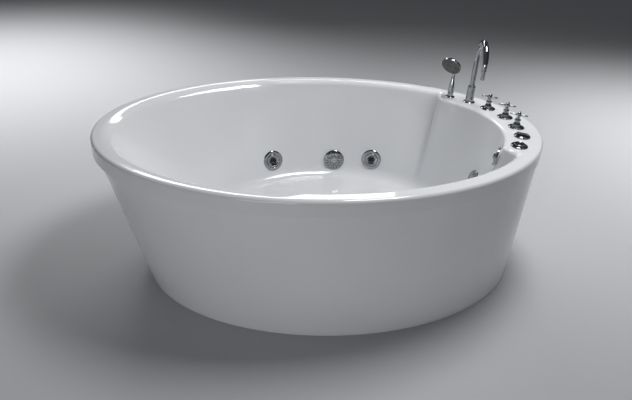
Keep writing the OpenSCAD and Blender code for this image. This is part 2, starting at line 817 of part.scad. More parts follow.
module bonnet(at) {
  belly = bonnet_height * 0.55;
  color(chrome) translate(at) difference() {
    union() {
      translate([0, 0, bonnet_base]) cylinder(r = bonnet_foot, h = 3);
      translate([0, 0, bonnet_base + 3]) cylinder(r1 = bonnet_foot, r2 = bonnet_top, h = belly - 3);
      translate([0, 0, bonnet_base + belly]) cylinder(r = bonnet_top, h = bonnet_height - belly - 5);
      translate([0, 0, bonnet_end - 5]) cylinder(r = bonnet_top + 2, h = 5);
    }
    translate([0, 0, bonnet_base - 1]) cylinder(r = valve_shank + thread_fit, h = 6);
    translate([0, 0, bonnet_base]) cylinder(r = spindle_radius + running_fit, h = bonnet_height + 1);
  }
}

module cross_handle(at) {
  hub = 12;
  tip = arm_radius + 1;
  color(chrome) translate(at) {
    translate([0, 0, spindle_foot]) cylinder(r = spindle_radius, h = arm_height - spindle_foot);
    translate([0, 0, arm_height - hub / 2]) cylinder(r = hub_radius, h = hub);
    translate([0, 0, arm_height + hub / 2 - 2]) intersection() {
      sphere(r = hub_radius - 2);
      cylinder(r = hub_radius, h = hub);
    }
    translate([0, 0, bonnet_end + loose_fit]) cylinder(r = spindle_radius + 2, h = arm_height - hub / 2 - bonnet_end);
    for (k = [0:3]) rotate([0, 0, arm_heading + 90 * k]) translate([0, 0, arm_height]) rotate([0, 90, 0]) {
      cylinder(r = arm_radius, h = arm_length - tip);
      translate([0, 0, arm_length - tip]) sphere(r = tip);
    }
  }
}

module valve(at) {
  color("gold") translate(at) {
    translate([0, 0, -valve_neck]) cylinder(r = valve_shank, h = valve_neck + bonnet_base + 4);
    translate([0, 0, -valve_neck - valve_body_height]) cylinder(r = valve_body, h = valve_body_height);
  }
}

module hot_escutcheon() escutcheon(hot_at);
module hot_bonnet() bonnet(hot_at);
module hot_handle() cross_handle(hot_at);
module hot_valve() valve(hot_at);
module diverter_escutcheon() escutcheon(diverter_at);
module diverter_bonnet() bonnet(diverter_at);
module diverter_handle() cross_handle(diverter_at);
module diverter_valve() valve(diverter_at);
module cold_escutcheon() escutcheon(cold_at);
module cold_bonnet() bonnet(cold_at);
module cold_handle() cross_handle(cold_at);
module cold_valve() valve(cold_at);

// Supply pipes under the deck, with a threaded tail at the foot of the hot and the cold riser
valve_middle = -valve_neck - valve_body_height / 2;
supply_tail = 10.48;
tail_length = 20;
tail_nut = 24;

module supply_link(from, from_r, to, to_r) {
  level = [0, 0, valve_middle];
  way = (to - from) / norm(to - from);
  rod(from + level + way * (from_r + thread_fit), to + level - way * (to_r + thread_fit), supply_radius);
}

module supply_riser(at) {
  top = at[2] - valve_neck - valve_body_height;
  translate([at[0], at[1], supply_end]) {
    cylinder(r = supply_radius, h = top - supply_end);
    cylinder(r = supply_tail, h = tail_length);
    translate([0, 0, tail_length]) hex(tail_nut, 10);
  }
}

module tap_pipes() {
  color("gold") {
    supply_link(cold_at, valve_body, diverter_at, valve_body);
    supply_link(diverter_at, valve_body, hot_at, valve_body);
    supply_link(hot_at, valve_body, spout_at, spout_shank);
    supply_riser(hot_at);
    supply_riser(cold_at);
  }
}

module deck_nut(at, r) {
  nut = 8;
  translate(at + [0, 0, -sheet - nut]) difference() {
    hex(2 * r + 9, nut);
    translate([0, 0, -1]) cylinder(r = r + thread_fit, h = nut + 2);
  }
}

module deck_nuts() {
  color("gold") {
    deck_nut(shower_at, holder_shank);
    deck_nut(spout_at, spout_shank);
    for (at = valve_places) deck_nut(at, valve_shank);
    for (at = control_places) deck_nut(at, control_shank);
  }
}

// Deck controls
control_depth = overflow_drop - overflow_tube + 2;

module control_ring(at) {
  recess = control_height - control_recess_depth;
  color(chrome) translate(at) difference() {
    union() {
      rotate_extrude() polygon([
        [0, 0], [control_radius, 0], [control_radius, 2], [control_radius - 3, control_height], [0, control_height]
      ]);
      translate([0, 0, -control_depth]) cylinder(r = control_shank, h = control_depth + 1);
    }
    translate([0, 0, recess]) cylinder(r = control_recess, h = control_height);
    translate([0, 0, -control_depth - 1]) cylinder(r = control_stem + running_fit, h = control_depth + control_height);
  }
}

module air_control_ring() control_ring(air_at);
module pump_button_ring() control_ring(button_at);

module air_control_knob() {
  seat = control_height - control_recess_depth + loose_fit;
  cap = control_height + 1.5;
  color(chrome) translate(air_at) {
    translate([0, 0, seat]) cylinder(r = control_recess - loose_fit, h = cap - seat);
    translate([0, 0, 5 - control_depth]) cylinder(r = control_stem, h = control_depth + cap - 5);
    rotate([0, 0, arm_heading]) translate([0, 0, cap - 1]) intersection() {
      translate([-control_recess, -air_bar_width / 2, 0]) cube([2 * control_recess, air_bar_width, air_bar_top - cap + 1]);
      cylinder(r1 = control_recess - 2, r2 = control_recess - 8, h = air_bar_top - cap + 1);
    }
  }
}

module pump_button() {
  seat = control_height - control_recess_depth + loose_fit + button_travel;
  dish = 60;
  color(chrome) translate(button_at) difference() {
    union() {
      translate([0, 0, seat]) cylinder(r = button_radius, h = button_top - seat);
      translate([0, 0, -control_depth + button_travel]) cylinder(r = control_stem, h = control_depth + control_height);
    }
    translate([0, 0, button_top + dish - 1.5]) sphere(r = dish, $fn = 96);
  }
}

// Jets, each built along the wall's normal with its seat at seat_rise
ring_seat = 3;
eyeball_depth = 2;

module jet_fitting() {
  difference() {
    union() {
      translate([0, 0, seat_rise]) rotate_extrude() polygon([
        [0, 0], [jet_flange, 0], [jet_flange, 1.5], [jet_flange - 3, jet_flange_height - 1],
        [jet_flange - 8, jet_flange_height], [0, jet_flange_height]
      ]);
      translate([0, 0, -jet_body_depth + 16]) cylinder(r = jet_tube, h = jet_body_depth - 15);
    }
    translate([0, 0, seat_rise + ring_seat]) cylinder(r = jet_ring_radius + loose_fit, h = jet_flange_height);
    translate([0, 0, -jet_body_depth]) cylinder(r = jet_bore, h = jet_body_depth + jet_flange_height);
  }
}

module jet_ring() {
  face = seat_rise + ring_seat + loose_fit;
  sleeve = 18;
  difference() {
    union() {
      translate([0, 0, face]) rotate_extrude() polygon([
        [0, 0], [jet_ring_radius, 0], [jet_ring_radius, 3], [jet_ring_radius - 2, 5], [jet_ring_radius - 6, 5],
        [jet_ring_radius - 8, 4], [0, 4]
      ]);
      translate([0, 0, face - sleeve]) cylinder(r = jet_bore - running_fit, h = sleeve + 1);
    }
    translate([0, 0, -eyeball_depth]) sphere(r = eyeball_radius + running_fit);
    translate([0, 0, face - sleeve - 1]) cylinder(r = eyeball_radius - 4, h = sleeve - 8);
  }
}

module jet_eyeball() {
  front = 12;
  translate([0, 0, -eyeball_depth]) difference() {
    intersection() {
      sphere(r = eyeball_radius);
      translate([0, 0, -front]) cylinder(r = eyeball_radius + 1, h = 2 * front);
    }
    translate([0, 0, -front - 1]) cylinder(r = eyeball_hole, h = 2 * front + 2);
    translate([0, 0, front - 3]) cylinder(r1 = eyeball_hole, r2 = eyeball_hole + 3, h = 4);
  }
}

module jet_body() {
  floor_depth = 4;
  difference() {
    union() {
      translate([0, 0, -jet_body_depth]) cylinder(r = jet_body, h = jet_body_depth - seat_back);
      translate([0, 0, -seat_back - 12]) hex(2 * jet_body + 8, 12);
    }
    translate([0, 0, -jet_body_depth + floor_depth])
      cylinder(r = jet_tube + thread_fit, h = jet_body_depth);
  }
}

module jet_fittings() color(chrome) for (j = jet_places) on_wall(j[0], j[1]) jet_fitting();
module jet_bodies() color(plastic) for (j = jet_places) on_wall(j[0], j[1]) jet_body();
module one_ring(i) color(chrome) on_wall(jet_places[i][0], jet_places[i][1]) jet_ring();
module one_eyeball(i) color(dark) on_wall(jet_places[i][0], jet_places[i][1]) jet_eyeball();
module jet_ring_back_left() one_ring(0);
module jet_ring_back_right() one_ring(1);
module jet_ring_front_left() one_ring(2);
module jet_ring_front_right() one_ring(3);
module jet_ring_deck_end() one_ring(4);
module jet_eyeball_back_left() one_eyeball(0);
module jet_eyeball_back_right() one_eyeball(1);
module jet_eyeball_front_left() one_eyeball(2);
module jet_eyeball_front_right() one_eyeball(3);
module jet_eyeball_deck_end() one_eyeball(4);

// Suction
suction_wall = 4;
suction_port = suction_pipe_radius + 2;
suction_stub = 42;
suction_depth = jet_body_depth + 3;

module suction_cover() {
  inner = 14;
  color(chrome) on_wall(suction_angle, suction_height) translate([0, 0, seat_rise + suction_wall]) difference() {
    rotate_extrude() polygon(concat(
      [[0, 0], [suction_radius, 0]],
      [for (k = [0:6]) let (p = 90 * k / 6)
        [12 + (suction_radius - 12) * cos(p), 2 + (suction_dome - 2) * sin(p)]],
      [[0, suction_dome]]
    ));
    translate([0, 0, -1]) cylinder(r = suction_radius - 5, h = 4);
    for (k = [0:suction_slots - 1]) rotate([0, 0, k * 360 / suction_slots])
      translate([inner, -1.7, -1]) cube([suction_radius - inner - 7, 3.4, suction_dome + 2]);
  }
}

module suction_body() {
  port = [0, 0, -suction_depth + suction_port];
  color(plastic) on_wall(suction_angle, suction_height) difference() {
    union() {
      translate([0, 0, seat_rise]) cylinder(r = suction_radius - 1, h = suction_wall);
      translate([0, 0, -seat_back - 16]) cylinder(r = jet_tube, h = seat_back + 16 + seat_rise + 1);
      translate([0, 0, -suction_depth]) cylinder(r = suction_port + 4, h = suction_depth - seat_back - 12);
      translate([0, 0, -seat_back - 12]) hex(2 * jet_body + 8, 12);
      translate(port) rotate([0, 90, 0]) cylinder(r = suction_port, h = suction_stub);
    }
    translate([0, 0, -suction_depth + 4]) cylinder(r = suction_port - 2, h = suction_depth + 10);
    translate(port) rotate([0, 90, 0]) cylinder(r = suction_pipe_radius + thread_fit, h = suction_stub + 1);
  }
}

// Overflow knob and plug, which move together
overflow_gap = 4;
overflow_spindle = 5;
overflow_flange = overflow_tube + 9;

module overflow_knob() {
  color(chrome) on_wall(overflow_angle, overflow_height) {
    translate([0, 0, seat_rise + overflow_gap]) rotate_extrude() polygon(concat(
      [[0, 0], [overflow_radius - 1, 0], [overflow_radius, 1], [overflow_radius, 6], [overflow_radius - 2, 8],
        [17, 9.5]],
      [for (k = [0:5]) let (p = 90 * k / 5) [15 * cos(p), 9.5 + 8 * sin(p)]]
    ));
    translate([0, 0, -24]) cylinder(r = overflow_spindle, h = 24 + seat_rise + overflow_gap + 1);
    for (k = [0:3]) rotate([0, 0, 45 + 90 * k]) translate([overflow_radius - 4, -4, seat_rise + overflow_gap + 5])
      cube([4, 8, 4]);
  }
}

overflow_body = 56;
overflow_down_r = wall_r(overflow_angle, overflow_height) + overflow_body;
overflow_low = underside - 38;
waste_body = 27;

module overflow_pipe() {
  head = behind_wall(overflow_angle, overflow_height, 44);
  elbow = polar(overflow_angle, overflow_down_r, overflow_height - 25);
  low = polar(overflow_angle, overflow_down_r, overflow_low);
  way = ([waste_at[0], waste_at[1], overflow_low] - low);
  end = low + way * (1 - (waste_body + thread_fit) / norm(way));
  color(plastic) difference() {
    union() {
      on_wall(overflow_angle, overflow_height) {
        translate([0, 0, seat_rise]) cylinder(r = overflow_flange, h = 3);
        translate([0, 0, -overflow_body]) cylinder(r = overflow_tube, h = overflow_body + 1 + seat_rise);
        translate([0, 0, -seat_back - 10]) hex(2 * overflow_tube + 14, 10);
      }
      pipe([head, elbow, low, end], overflow_pipe_radius);
    }
    on_wall(overflow_angle, overflow_height) {
      for (k = [0:2]) rotate([0, 0, 120 * k]) translate([13, 0, -50]) cylinder(r = 6, h = 60);
      translate([0, 0, -28]) cylinder(r = overflow_spindle + running_fit, h = 40);
    }
  }
}

module waste_flange() {
  spokes = 3;
  hub = 7;
  color(chrome) translate(waste_at) difference() {
    union() {
      difference() {
        union() {
          rotate_extrude() polygon([
            [0, 0], [waste_radius, 0], [waste_radius - 1, 1.5], [waste_radius - 4, 3], [0, 3]
          ]);
          translate([0, 0, -30]) cylinder(r = waste_tube, h = 31);
        }
        translate([0, 0, -31]) cylinder(r = waste_tube - 3, h = 40);
      }
      translate([0, 0, -26]) cylinder(r = hub, h = 14);
      for (k = [0:spokes - 1]) rotate([0, 0, 120 * k]) translate([0, -2, -26]) cube([waste_tube - 1, 4, 6]);
    }
    translate([0, 0, -27]) cylinder(r = 4 + running_fit, h = 30);
  }
}

module waste_plug() {
  stem = 4;
  color(chrome) translate(waste_at) {
    translate([0, 0, 3 + loose_fit]) rotate_extrude() polygon(concat(
      [[0, 0], [waste_tube + 3, 0]],
      [for (k = [0:5]) let (p = 90 * k / 5) [8 + (waste_tube - 5) * cos(p), 1 + 4 * sin(p)]],
      [[0, 5]]
    ));
    translate([0, 0, -11]) cylinder(r = waste_tube - 4, h = 4);
    translate([0, 0, -34]) cylinder(r = stem, h = 38);
  }
}

trap_bottom = 45;
outlet_reach = 92;
outlet_x = waste_at[0] + outlet_reach;
outlet_end = 18;
outlet_z = trap_bottom + outlet_radius + 8;
outlet_elbow = outlet_radius + 3;
outlet_length_down = outlet_z - outlet_elbow - outlet_end;

module waste_trap() {
  cup_top = underside;
  cup = waste_body;
  color(plastic) translate([waste_at[0], waste_at[1], 0]) difference() {
    union() {
      translate([0, 0, trap_bottom]) cylinder(r = cup, h = cup_top - trap_bottom);
      translate([0, 0, cup_top - 10]) hex(2 * cup + 6, 10);
      translate([0, 0, outlet_z]) rotate([0, 90, 0]) cylinder(r = outlet_radius, h = outlet_reach);
      translate([outlet_reach, 0, outlet_z]) {
        sphere(r = outlet_elbow);
        translate([0, 0, -outlet_elbow]) cylinder(r = outlet_elbow, h = outlet_elbow);
        translate([-outlet_elbow - 6, 0, 0]) rotate([0, 90, 0]) cylinder(r = outlet_elbow, h = outlet_elbow + 6);
      }
      translate([outlet_reach, 0, outlet_end]) cylinder(r = outlet_radius, h = outlet_length_down + 1);
    }
    translate([0, 0, basin_floor - 45]) cylinder(r = waste_tube + thread_fit, h = 60);
    translate([0, 0, trap_bottom + 3]) cylinder(r = waste_tube - 4, h = 100);
    translate([outlet_reach, 0, outlet_end - 1]) cylinder(r = outlet_radius - 2, h = outlet_z - outlet_end);
  }
}

// Pump, with its axis along Y and its inlet at the back
housing_wall = 10;
inlet_length = 28;
outlet_length = 20;
pump_back = pump_joint + pump_width;
terminal_at = [pump_x, pump_joint - 150, pump_z + motor_radius];
terminal_box = [50, 70, 48];

module along_y(y) {
  translate([pump_x, y, pump_z]) rotate([-90, 0, 0]) children();
}

module pump_housing() {
  color(dark) difference() {
    union() {
      along_y(pump_joint) cylinder(r = pump_radius, h = pump_width);
      along_y(pump_back) cylinder(r = suction_pipe_radius + 4, h = inlet_length);
      translate([pump_x, pump_joint + pump_width / 2, pump_z])
        cylinder(r = water_pipe_radius + 4, h = pump_radius + outlet_length);
    }
    along_y(pump_joint - 1) cylinder(r = pump_radius - housing_wall, h = pump_width - housing_wall + 1);
    along_y(pump_joint) cylinder(r = suction_pipe_radius + thread_fit, h = pump_width + inlet_length + 1);
    translate([pump_x, pump_joint + pump_width / 2, pump_z])
      cylinder(r = water_pipe_radius + thread_fit, h = pump_radius + outlet_length + 1);
  }
}

module impeller() {
  blades = 6;
  disc = 4;
  bore = shaft_radius;
  reach = pump_radius - housing_wall - 5;
  color("gray") along_y(pump_joint + 6) difference() {
    union() {
      cylinder(r = reach, h = disc);
      cylinder(r = bore + 6, h = 24);
      for (k = [0:blades - 1]) rotate([0, 0, 60 * k]) translate([bore, -2, 0]) cube([reach - bore - 3, 4, 22]);
    }
    translate([0, 0, -1]) cylinder(r = bore + thread_fit / 2, h = 30);
  }
}

module pump_shaft() {
  color("gray") along_y(pump_joint - motor_length + 25) cylinder(r = shaft_radius, h = motor_length + 4);
}

module pump_motor() {
  fins = 16;
  foot_height = pump_z - rail_top;
  foot_width = 2 * pump_bar + rail - 6;
  color(dark) difference() {
    union() {
      along_y(pump_joint - motor_length) cylinder(r = motor_radius - 5, h = motor_length);
      along_y(pump_joint - 14) cylinder(r = pump_radius, h = 14);
      along_y(pump_joint - motor_length) cylinder(r = motor_radius, h = 40);
      for (k = [0:fins - 1]) along_y(pump_joint - motor_length + 39) rotate([0, 0, 360 * k / fins])
        translate([motor_radius - 7, -1.5, 0]) cube([6, 3, motor_length - 52]);
      for (y = [pump_joint - 60, pump_joint - motor_length + 50])
        translate([pump_x - foot_width / 2, y - 15, rail_top]) cube([foot_width, 30, 8]);
      for (y = [pump_joint - 60, pump_joint - motor_length + 50])
        translate([pump_x - 30, y - 15, rail_top]) cube([60, 30, foot_height - motor_radius + 14]);
      translate(terminal_at - [terminal_box[0], 0, 20]) cube(terminal_box);
    }
    along_y(pump_joint - motor_length + 24) cylinder(r = shaft_radius + running_fit, h = motor_length);
  }
}

module cable_gland() {
  color("black") translate(terminal_at + [-terminal_box[0] / 2, 0, 14]) rotate([90, 0, 0])
    difference() {
      union() {
        hex(22, 8);
        translate([0, 0, 7]) cylinder(r1 = 9, r2 = 6, h = 10);
      }
      translate([0, 0, 2]) cylinder(r = 4, h = 20);
    }
}

// Pipes
suction_run = underside - suction_pipe_radius - 13;

module suction_pipe() {
  n = wall_normal(suction_angle, suction_height);
  tilt = acos(n[2]);
  down = [cos(tilt) * n[0] / sin(tilt), cos(tilt) * n[1] / sin(tilt), -sin(tilt)];
  centre = behind_wall(suction_angle, suction_height, suction_depth - suction_port);
  port = centre + (suction_stub + 12) * down;
  under = polar(suction_angle + 6, foot_r(suction_angle + 6) - 10, suction_run);
  side = polar(118, foot_r(118) - 10, suction_run);
  left = polar(140, foot_r(140) + 12, suction_run + 8);
  inlet = [pump_x, pump_back + inlet_length + 45, pump_z];
  end = [pump_x, pump_back + 6, pump_z];
  start = centre + suction_port * down;
  color(plastic) pipe([start, port, under, side, left, inlet, end], suction_pipe_radius);
}

// A pipe run that follows the skirt, swept through sections that stand on rays from the origin
run_sides = 10;
run_step = 5;
run_from = -150;
run_to = 140;
head_from = 118;
rise_span = 34;

function run_lift(th, lift) = lift * (1 - ease(abs(th - end_jet_angle) / rise_span));

function run_at(th, height, lift, head = 0) =
  let (z = height + run_lift(th, lift) + head * ease((th - head_from) / (run_to - head_from)))
    polar(th, skirt_inner_r(th, z) - pipe_inset, z);

// Tube through rings of run_sides points, closed at both ends
module tube(rings) {
  n = len(rings);
  points = [for (ring = rings) each ring];
  faces = concat(
    [[for (k = [run_sides - 1:-1:0]) k]],
    [[for (k = [0:run_sides - 1]) (n - 1) * run_sides + k]],
    [for (j = [0:n - 2]) for (k = [0:run_sides - 1]) let (l = (k + 1) % run_sides)
      each [[j * run_sides + k, (j + 1) * run_sides + l, (j + 1) * run_sides + k],
        [j * run_sides + k, j * run_sides + l, (j + 1) * run_sides + l]]]
  );
  polyhedron(points = points, faces = faces, convexity = 6);
}

module skirt_run(r, height, lift, head) {
  tube([for (th = [run_from:run_step:run_to]) let (c = run_at(th, height, lift, head))
    [for (k = [0:run_sides - 1]) let (p = 360 * k / run_sides) c + polar(th, r * cos(p), r * sin(p))]]);
}

// Tube along a path that never runs along the X axis, with each corner cut at a distance from its point
module bent_tube(corners, r, cut) {
  last = len(corners) - 1;
  path = concat([corners[0]], [for (i = [1:last - 1])
    each [corners[i] + cut * unit(corners[i - 1] - corners[i]), corners[i] + cut * unit(corners[i + 1] - corners[i])]],
    [corners[last]]);
  end = len(path) - 1;
  tube([for (i = [0:end])
    let (
      t = unit(unit(path[i] - path[max(i - 1, 0)] + (i == 0 ? path[1] - path[0] : [0, 0, 0]))
        + unit(path[min(i + 1, end)] - path[i] + (i == end ? path[end] - path[end - 1] : [0, 0, 0]))),
      u = unit(cross(t, [1, 0, 0])),
      w = cross(u, t)
    )
    [for (k = [0:run_sides - 1]) let (p = 360 * k / run_sides) path[i] + r * (cos(p) * u + sin(p) * w)]]);
}

// Ends of the straight stretch of a run that passes the angle
function stretch(th, height, lift) =
  let (from = run_from + run_step * floor((th - run_from) / run_step))
    [run_at(from, height, lift), run_at(from + run_step, height, lift)];

// Sleeve round the middle of a straight stretch, with a branch that leaves it
module saddle(ends, run_r, r, to) {
  half = 10;
  middle = (ends[0] + ends[1]) / 2;
  along = (ends[1] - ends[0]) / norm(ends[1] - ends[0]);
  difference() {
    union() {
      rod(middle - half * along, middle + half * along, run_r + 3);
      rod(middle, to, r);
    }
    rod(middle - 2 * half * along, middle + 2 * half * along, run_r + thread_fit);
  }
}

module branch(j, height, lift, run_r, r, depth) {
  difference() {
    saddle(stretch(j[0], height, lift), run_r, r, behind_wall(j[0], j[1], depth));
    on_wall(j[0], j[1]) translate([0, 0, -jet_body_depth - 1])
      cylinder(r = jet_body + thread_fit, h = jet_body_depth + 1);
  }
}

end_jet_lift = end_jet_height - jet_height;

module water_pipe() {
  head = 105;
  lead = 30;
  rise = pump_z + pump_radius + outlet_length + water_pipe_radius + 4;
  outlet = [pump_x, pump_joint + pump_width / 2, pump_z + pump_radius + 4];
  run_end = run_at(run_to, water_run, end_jet_lift, head);
  along = [-sin(run_to), cos(run_to), 0];
  feed = [outlet, [outlet[0], outlet[1], rise], [outlet[0] + 10, outlet[1] + 90, rise], run_end + lead * along,
    run_end + thread_fit * along];
  color(plastic) {
    skirt_run(water_pipe_radius, water_run, end_jet_lift, head);
    bent_tube(feed, water_pipe_radius, 12);
    for (j = jet_places) branch(j, water_run, end_jet_lift, water_pipe_radius, 9, jet_body_depth - 13);
  }
}

module air_pipe() {
  ends = stretch(atan2(air_at[1], air_at[0]), air_run, end_jet_lift);
  socket = (ends[0] + ends[1]) / 2 + [0, 0, 24];
  color(plastic) {
    skirt_run(air_pipe_radius, air_run, end_jet_lift, 0);
    saddle(ends, air_pipe_radius, air_pipe_radius + 2, socket);
    pipe([air_at - [0, 0, control_depth], air_at - [0, 0, control_depth + 12], socket + [0, 0, 20], socket - [0, 0, 8]],
      air_pipe_radius);
    for (j = jet_places) branch(j, air_run, end_jet_lift, air_pipe_radius, 5, jet_body_depth / 2 + 6);
  }
}

tub_shell();
tub_floor();
skirt();
base_frame();
levelling_feet();
support_pads();
spout_flange();
spout_body();
spout_neck();
spout_aerator();
shower_flange();
shower_holder();
shower_handle();
shower_head();
spray_plate();
hot_escutcheon();
hot_bonnet();
hot_handle();
hot_valve();
diverter_escutcheon();
diverter_bonnet();
diverter_handle();
diverter_valve();
cold_escutcheon();
cold_bonnet();
cold_handle();
cold_valve();
tap_pipes();
deck_nuts();
air_control_ring();
air_control_knob();
pump_button_ring();
pump_button();
jet_fittings();
jet_bodies();
jet_ring_back_left();
jet_ring_back_right();
jet_ring_front_left();
jet_ring_front_right();
jet_ring_deck_end();
jet_eyeball_back_left();
jet_eyeball_back_right();
jet_eyeball_front_left();
jet_eyeball_front_right();
jet_eyeball_deck_end();
suction_cover();
suction_body();
overflow_knob();
overflow_pipe();
waste_flange();
waste_plug();
waste_trap();
pump_housing();
impeller();
pump_shaft();
pump_motor();
cable_gland();
suction_pipe();
water_pipe();
air_pipe();
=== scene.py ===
"""Dresses the jetted bathtub: fine enamel shell and skirt, chrome fittings, plastics and metals."""
import json
from math import asin, cos, pi, radians, sin

import bmesh
import bpy
import numpy as np
from mathutils import Matrix, Vector


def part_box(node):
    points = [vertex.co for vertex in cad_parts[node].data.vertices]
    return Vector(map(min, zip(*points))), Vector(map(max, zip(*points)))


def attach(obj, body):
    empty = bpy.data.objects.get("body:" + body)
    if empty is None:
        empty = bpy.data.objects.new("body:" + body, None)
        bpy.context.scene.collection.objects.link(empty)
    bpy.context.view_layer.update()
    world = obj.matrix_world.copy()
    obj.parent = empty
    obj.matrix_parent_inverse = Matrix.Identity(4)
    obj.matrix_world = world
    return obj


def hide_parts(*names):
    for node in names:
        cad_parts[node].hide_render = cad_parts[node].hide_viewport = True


bl_info = {
    "name": "Jetted bathtub",
    "version": (1, 0, 0),
    "blender": (4, 5, 0),
    "location": "3D View > Sidebar > Bathtub",
    "description": "Builds the visible pieces and materials of an oval jetted bathtub",
    "category": "Object",
}

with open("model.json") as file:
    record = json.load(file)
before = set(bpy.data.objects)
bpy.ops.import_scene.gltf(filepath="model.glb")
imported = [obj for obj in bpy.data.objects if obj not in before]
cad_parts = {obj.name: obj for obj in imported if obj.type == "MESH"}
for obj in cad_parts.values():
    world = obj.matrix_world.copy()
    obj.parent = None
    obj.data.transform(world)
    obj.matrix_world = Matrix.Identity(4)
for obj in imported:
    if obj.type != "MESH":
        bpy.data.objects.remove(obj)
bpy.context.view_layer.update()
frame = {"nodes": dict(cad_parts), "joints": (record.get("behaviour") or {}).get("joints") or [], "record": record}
NODES = frame["nodes"]
JOINTS = {joint["name"]: joint for joint in frame["joints"]}
JET_NAMES = ("back_left", "back_right", "front_left", "front_right", "deck_end")


# Sizes and colours that a user would change

def length(name, about, value):
    return bpy.props.FloatProperty(name=name, description=about, default=value, unit="LENGTH")


def colour(name, about, value):
    return bpy.props.FloatVectorProperty(name=name, description=about, default=value, min=0, max=1, subtype="COLOR")


def count(name, about, value, low, high):
    return bpy.props.IntProperty(name=name, description=about, default=value, min=low, max=high)


class TubSettings(bpy.types.PropertyGroup):
    """Sizes of the enamelled shell and its skirt"""
    half_length: length("Half length", "Half of the rim's length", 0.85)
    half_width: length("Half width", "Half of the rim's width", 0.59)
    height: length("Height", "Height of the rim above the ground", 0.6)
    rim_width: length("Rim width", "Width of the rim round the basin", 0.06)
    lip: length("Lip height", "Height of the lip over the skirt", 0.055)
    outer_roll: length("Outer roll", "Radius of the rim's outer edge", 0.012)
    inner_roll: length("Inner roll", "Radius of the rim's inner edge", 0.024)
    backrest_roll: length("Backrest roll", "Radius of the edge over the backrest", 0.058)
    deck_roll: length("Deck roll", "Radius of the deck's inner edge", 0.012)
    deck_depth: length("Deck depth", "Depth of the tap deck at its end", 0.155)
    deck_side: length("Deck side inset", "Inset of the deck's inner edge at the sides", 0.105)
    deck_shift: length("Deck shift", "Shift of the deck's edge to the front", 0.016)
    floor_level: length("Floor level", "Height of the basin's floor", 0.155)
    floor_fillet: length("Floor fillet", "Radius between the walls and the floor", 0.06)
    sheet: length("Sheet", "Thickness of the enamelled sheet", 0.004)
    skirt_sheet: length("Skirt sheet", "Thickness of the skirt", 0.003)


class FinishSettings(bpy.types.PropertyGroup):
    """Colours and gloss of the finishes"""
    enamel: colour("Enamel", "Colour of the white enamel", (0.78, 0.79, 0.808))
    enamel_gloss: bpy.props.FloatProperty(name="Enamel roughness", description="Roughness of the enamel",
                                          default=0.065, min=0, max=1, subtype="FACTOR")
    chrome: colour("Chrome", "Colour of the chrome", (0.34, 0.352, 0.368))
    insert: colour("Inserts", "Colour of the dark plastic inserts", (0.035, 0.037, 0.04))
    spray: colour("Spray plate", "Colour of the hand shower's spray plate", (0.10, 0.094, 0.09))
    motor: colour("Motor", "Colour of the motor's paint", (0.10, 0.13, 0.17))


class FittingSettings(bpy.types.PropertyGroup):
    """Sizes and counts of the taps, jets and grilles"""
    spout_rise: length("Spout rise", "Height of the neck's bend over the deck", 0.199)
    spout_bend: length("Spout bend", "Radius of the neck's bend", 0.075)
    spout_radius: length("Spout tube", "Radius of the neck's tube", 0.011)
    spout_heading: bpy.props.FloatProperty(name="Spout heading", description="Direction of the spout, in degrees",
                                           default=-102.0)
    nozzle_rows: count("Nozzle rows", "Rings of nozzles on the hand shower", 3, 1, 3)
    jet_grips: count("Jet grips", "Number of grips round each jet's ring", 24, 6, 36)
    suction_slots: count("Suction slots", "Number of slots in the suction grille", 16, 8, 20)


# Outlines of the tub in plan, by angle from its centre

def ellipse_radius(a, b, th, along=0.0, across=0.0):
    ka = (np.cos(th) / a) ** 2 + (np.sin(th) / b) ** 2
    kb = -2 * (along * np.cos(th) / a ** 2 + across * np.sin(th) / b ** 2)
    kc = (along / a) ** 2 + (across / b) ** 2 - 1
    return (-kb + np.sqrt(kb * kb - 4 * ka * kc)) / (2 * ka)


DECK_FRONT = (radians(-22.0), radians(-23.9))
DECK_BACK = (radians(27.0), radians(30.8))
FLOOR_HALF = (0.55, 0.45)
FLOOR_SHIFT = 0.07
SKIRT_HALF = (0.77, 0.518)
SKIRT_GAP = 0.0043
SKIRT_TOP = 0.585
SKIRT_COLUMNS = 288
CORNER_REACH, CORNER_SPREAD = 60, 17.0
WIDE_STEP, FINE_SHARE, FINE_RANGE = 0.011, 0.0085, 0.035
BACKREST_START, BACKREST_BLEND = radians(104), radians(10)
LIP_ROWS, OUTER_ROWS, RIM_ROWS, ROLL_ROWS, WALL_ROWS, FLOOR_ROWS = 5, 9, 8, 13, 22, 13
HANDLE_HEADING = radians(-36)
CONTROL_DEPTH = 34
SPOUT_DROP = 0.016
HOLE_DEPTH, DECK_HOLE_DEPTH = 0.02, 0.03
DECK_HOLES = {"shower_holder": 0.013, "spout_body": 0.0165, "hot_valve": 0.0125, "diverter_valve": 0.0125,
              "cold_valve": 0.0125, "air_control_ring": 0.0135, "pump_button_ring": 0.0135}
JET_HOLE, SUCTION_HOLE, OVERFLOW_HOLE, WASTE_HOLE = 0.0335, 0.0335, 0.0235, 0.0255
SUCTION = (radians(73), 0.225)
FLAT = Vector((0, 0, 1))


def rim_radius(tub, th):
    return ellipse_radius(tub.half_length, tub.half_width, th)


def foot_radius(th):
    return ellipse_radius(FLOOR_HALF[0], FLOOR_HALF[1], th, FLOOR_SHIFT)


def opening_radius(tub, th):
    return ellipse_radius(tub.half_length - tub.rim_width, tub.half_width - tub.rim_width, th)


def deck_radius(tub, th):
    along, across = tub.half_length - tub.deck_depth, tub.half_width - tub.deck_side
    return ellipse_radius(along, across, th, 0.0, -tub.deck_shift)


def smooth(t):
    u = np.clip(t, 0, 1)
    return u * u * (3 - 2 * u)


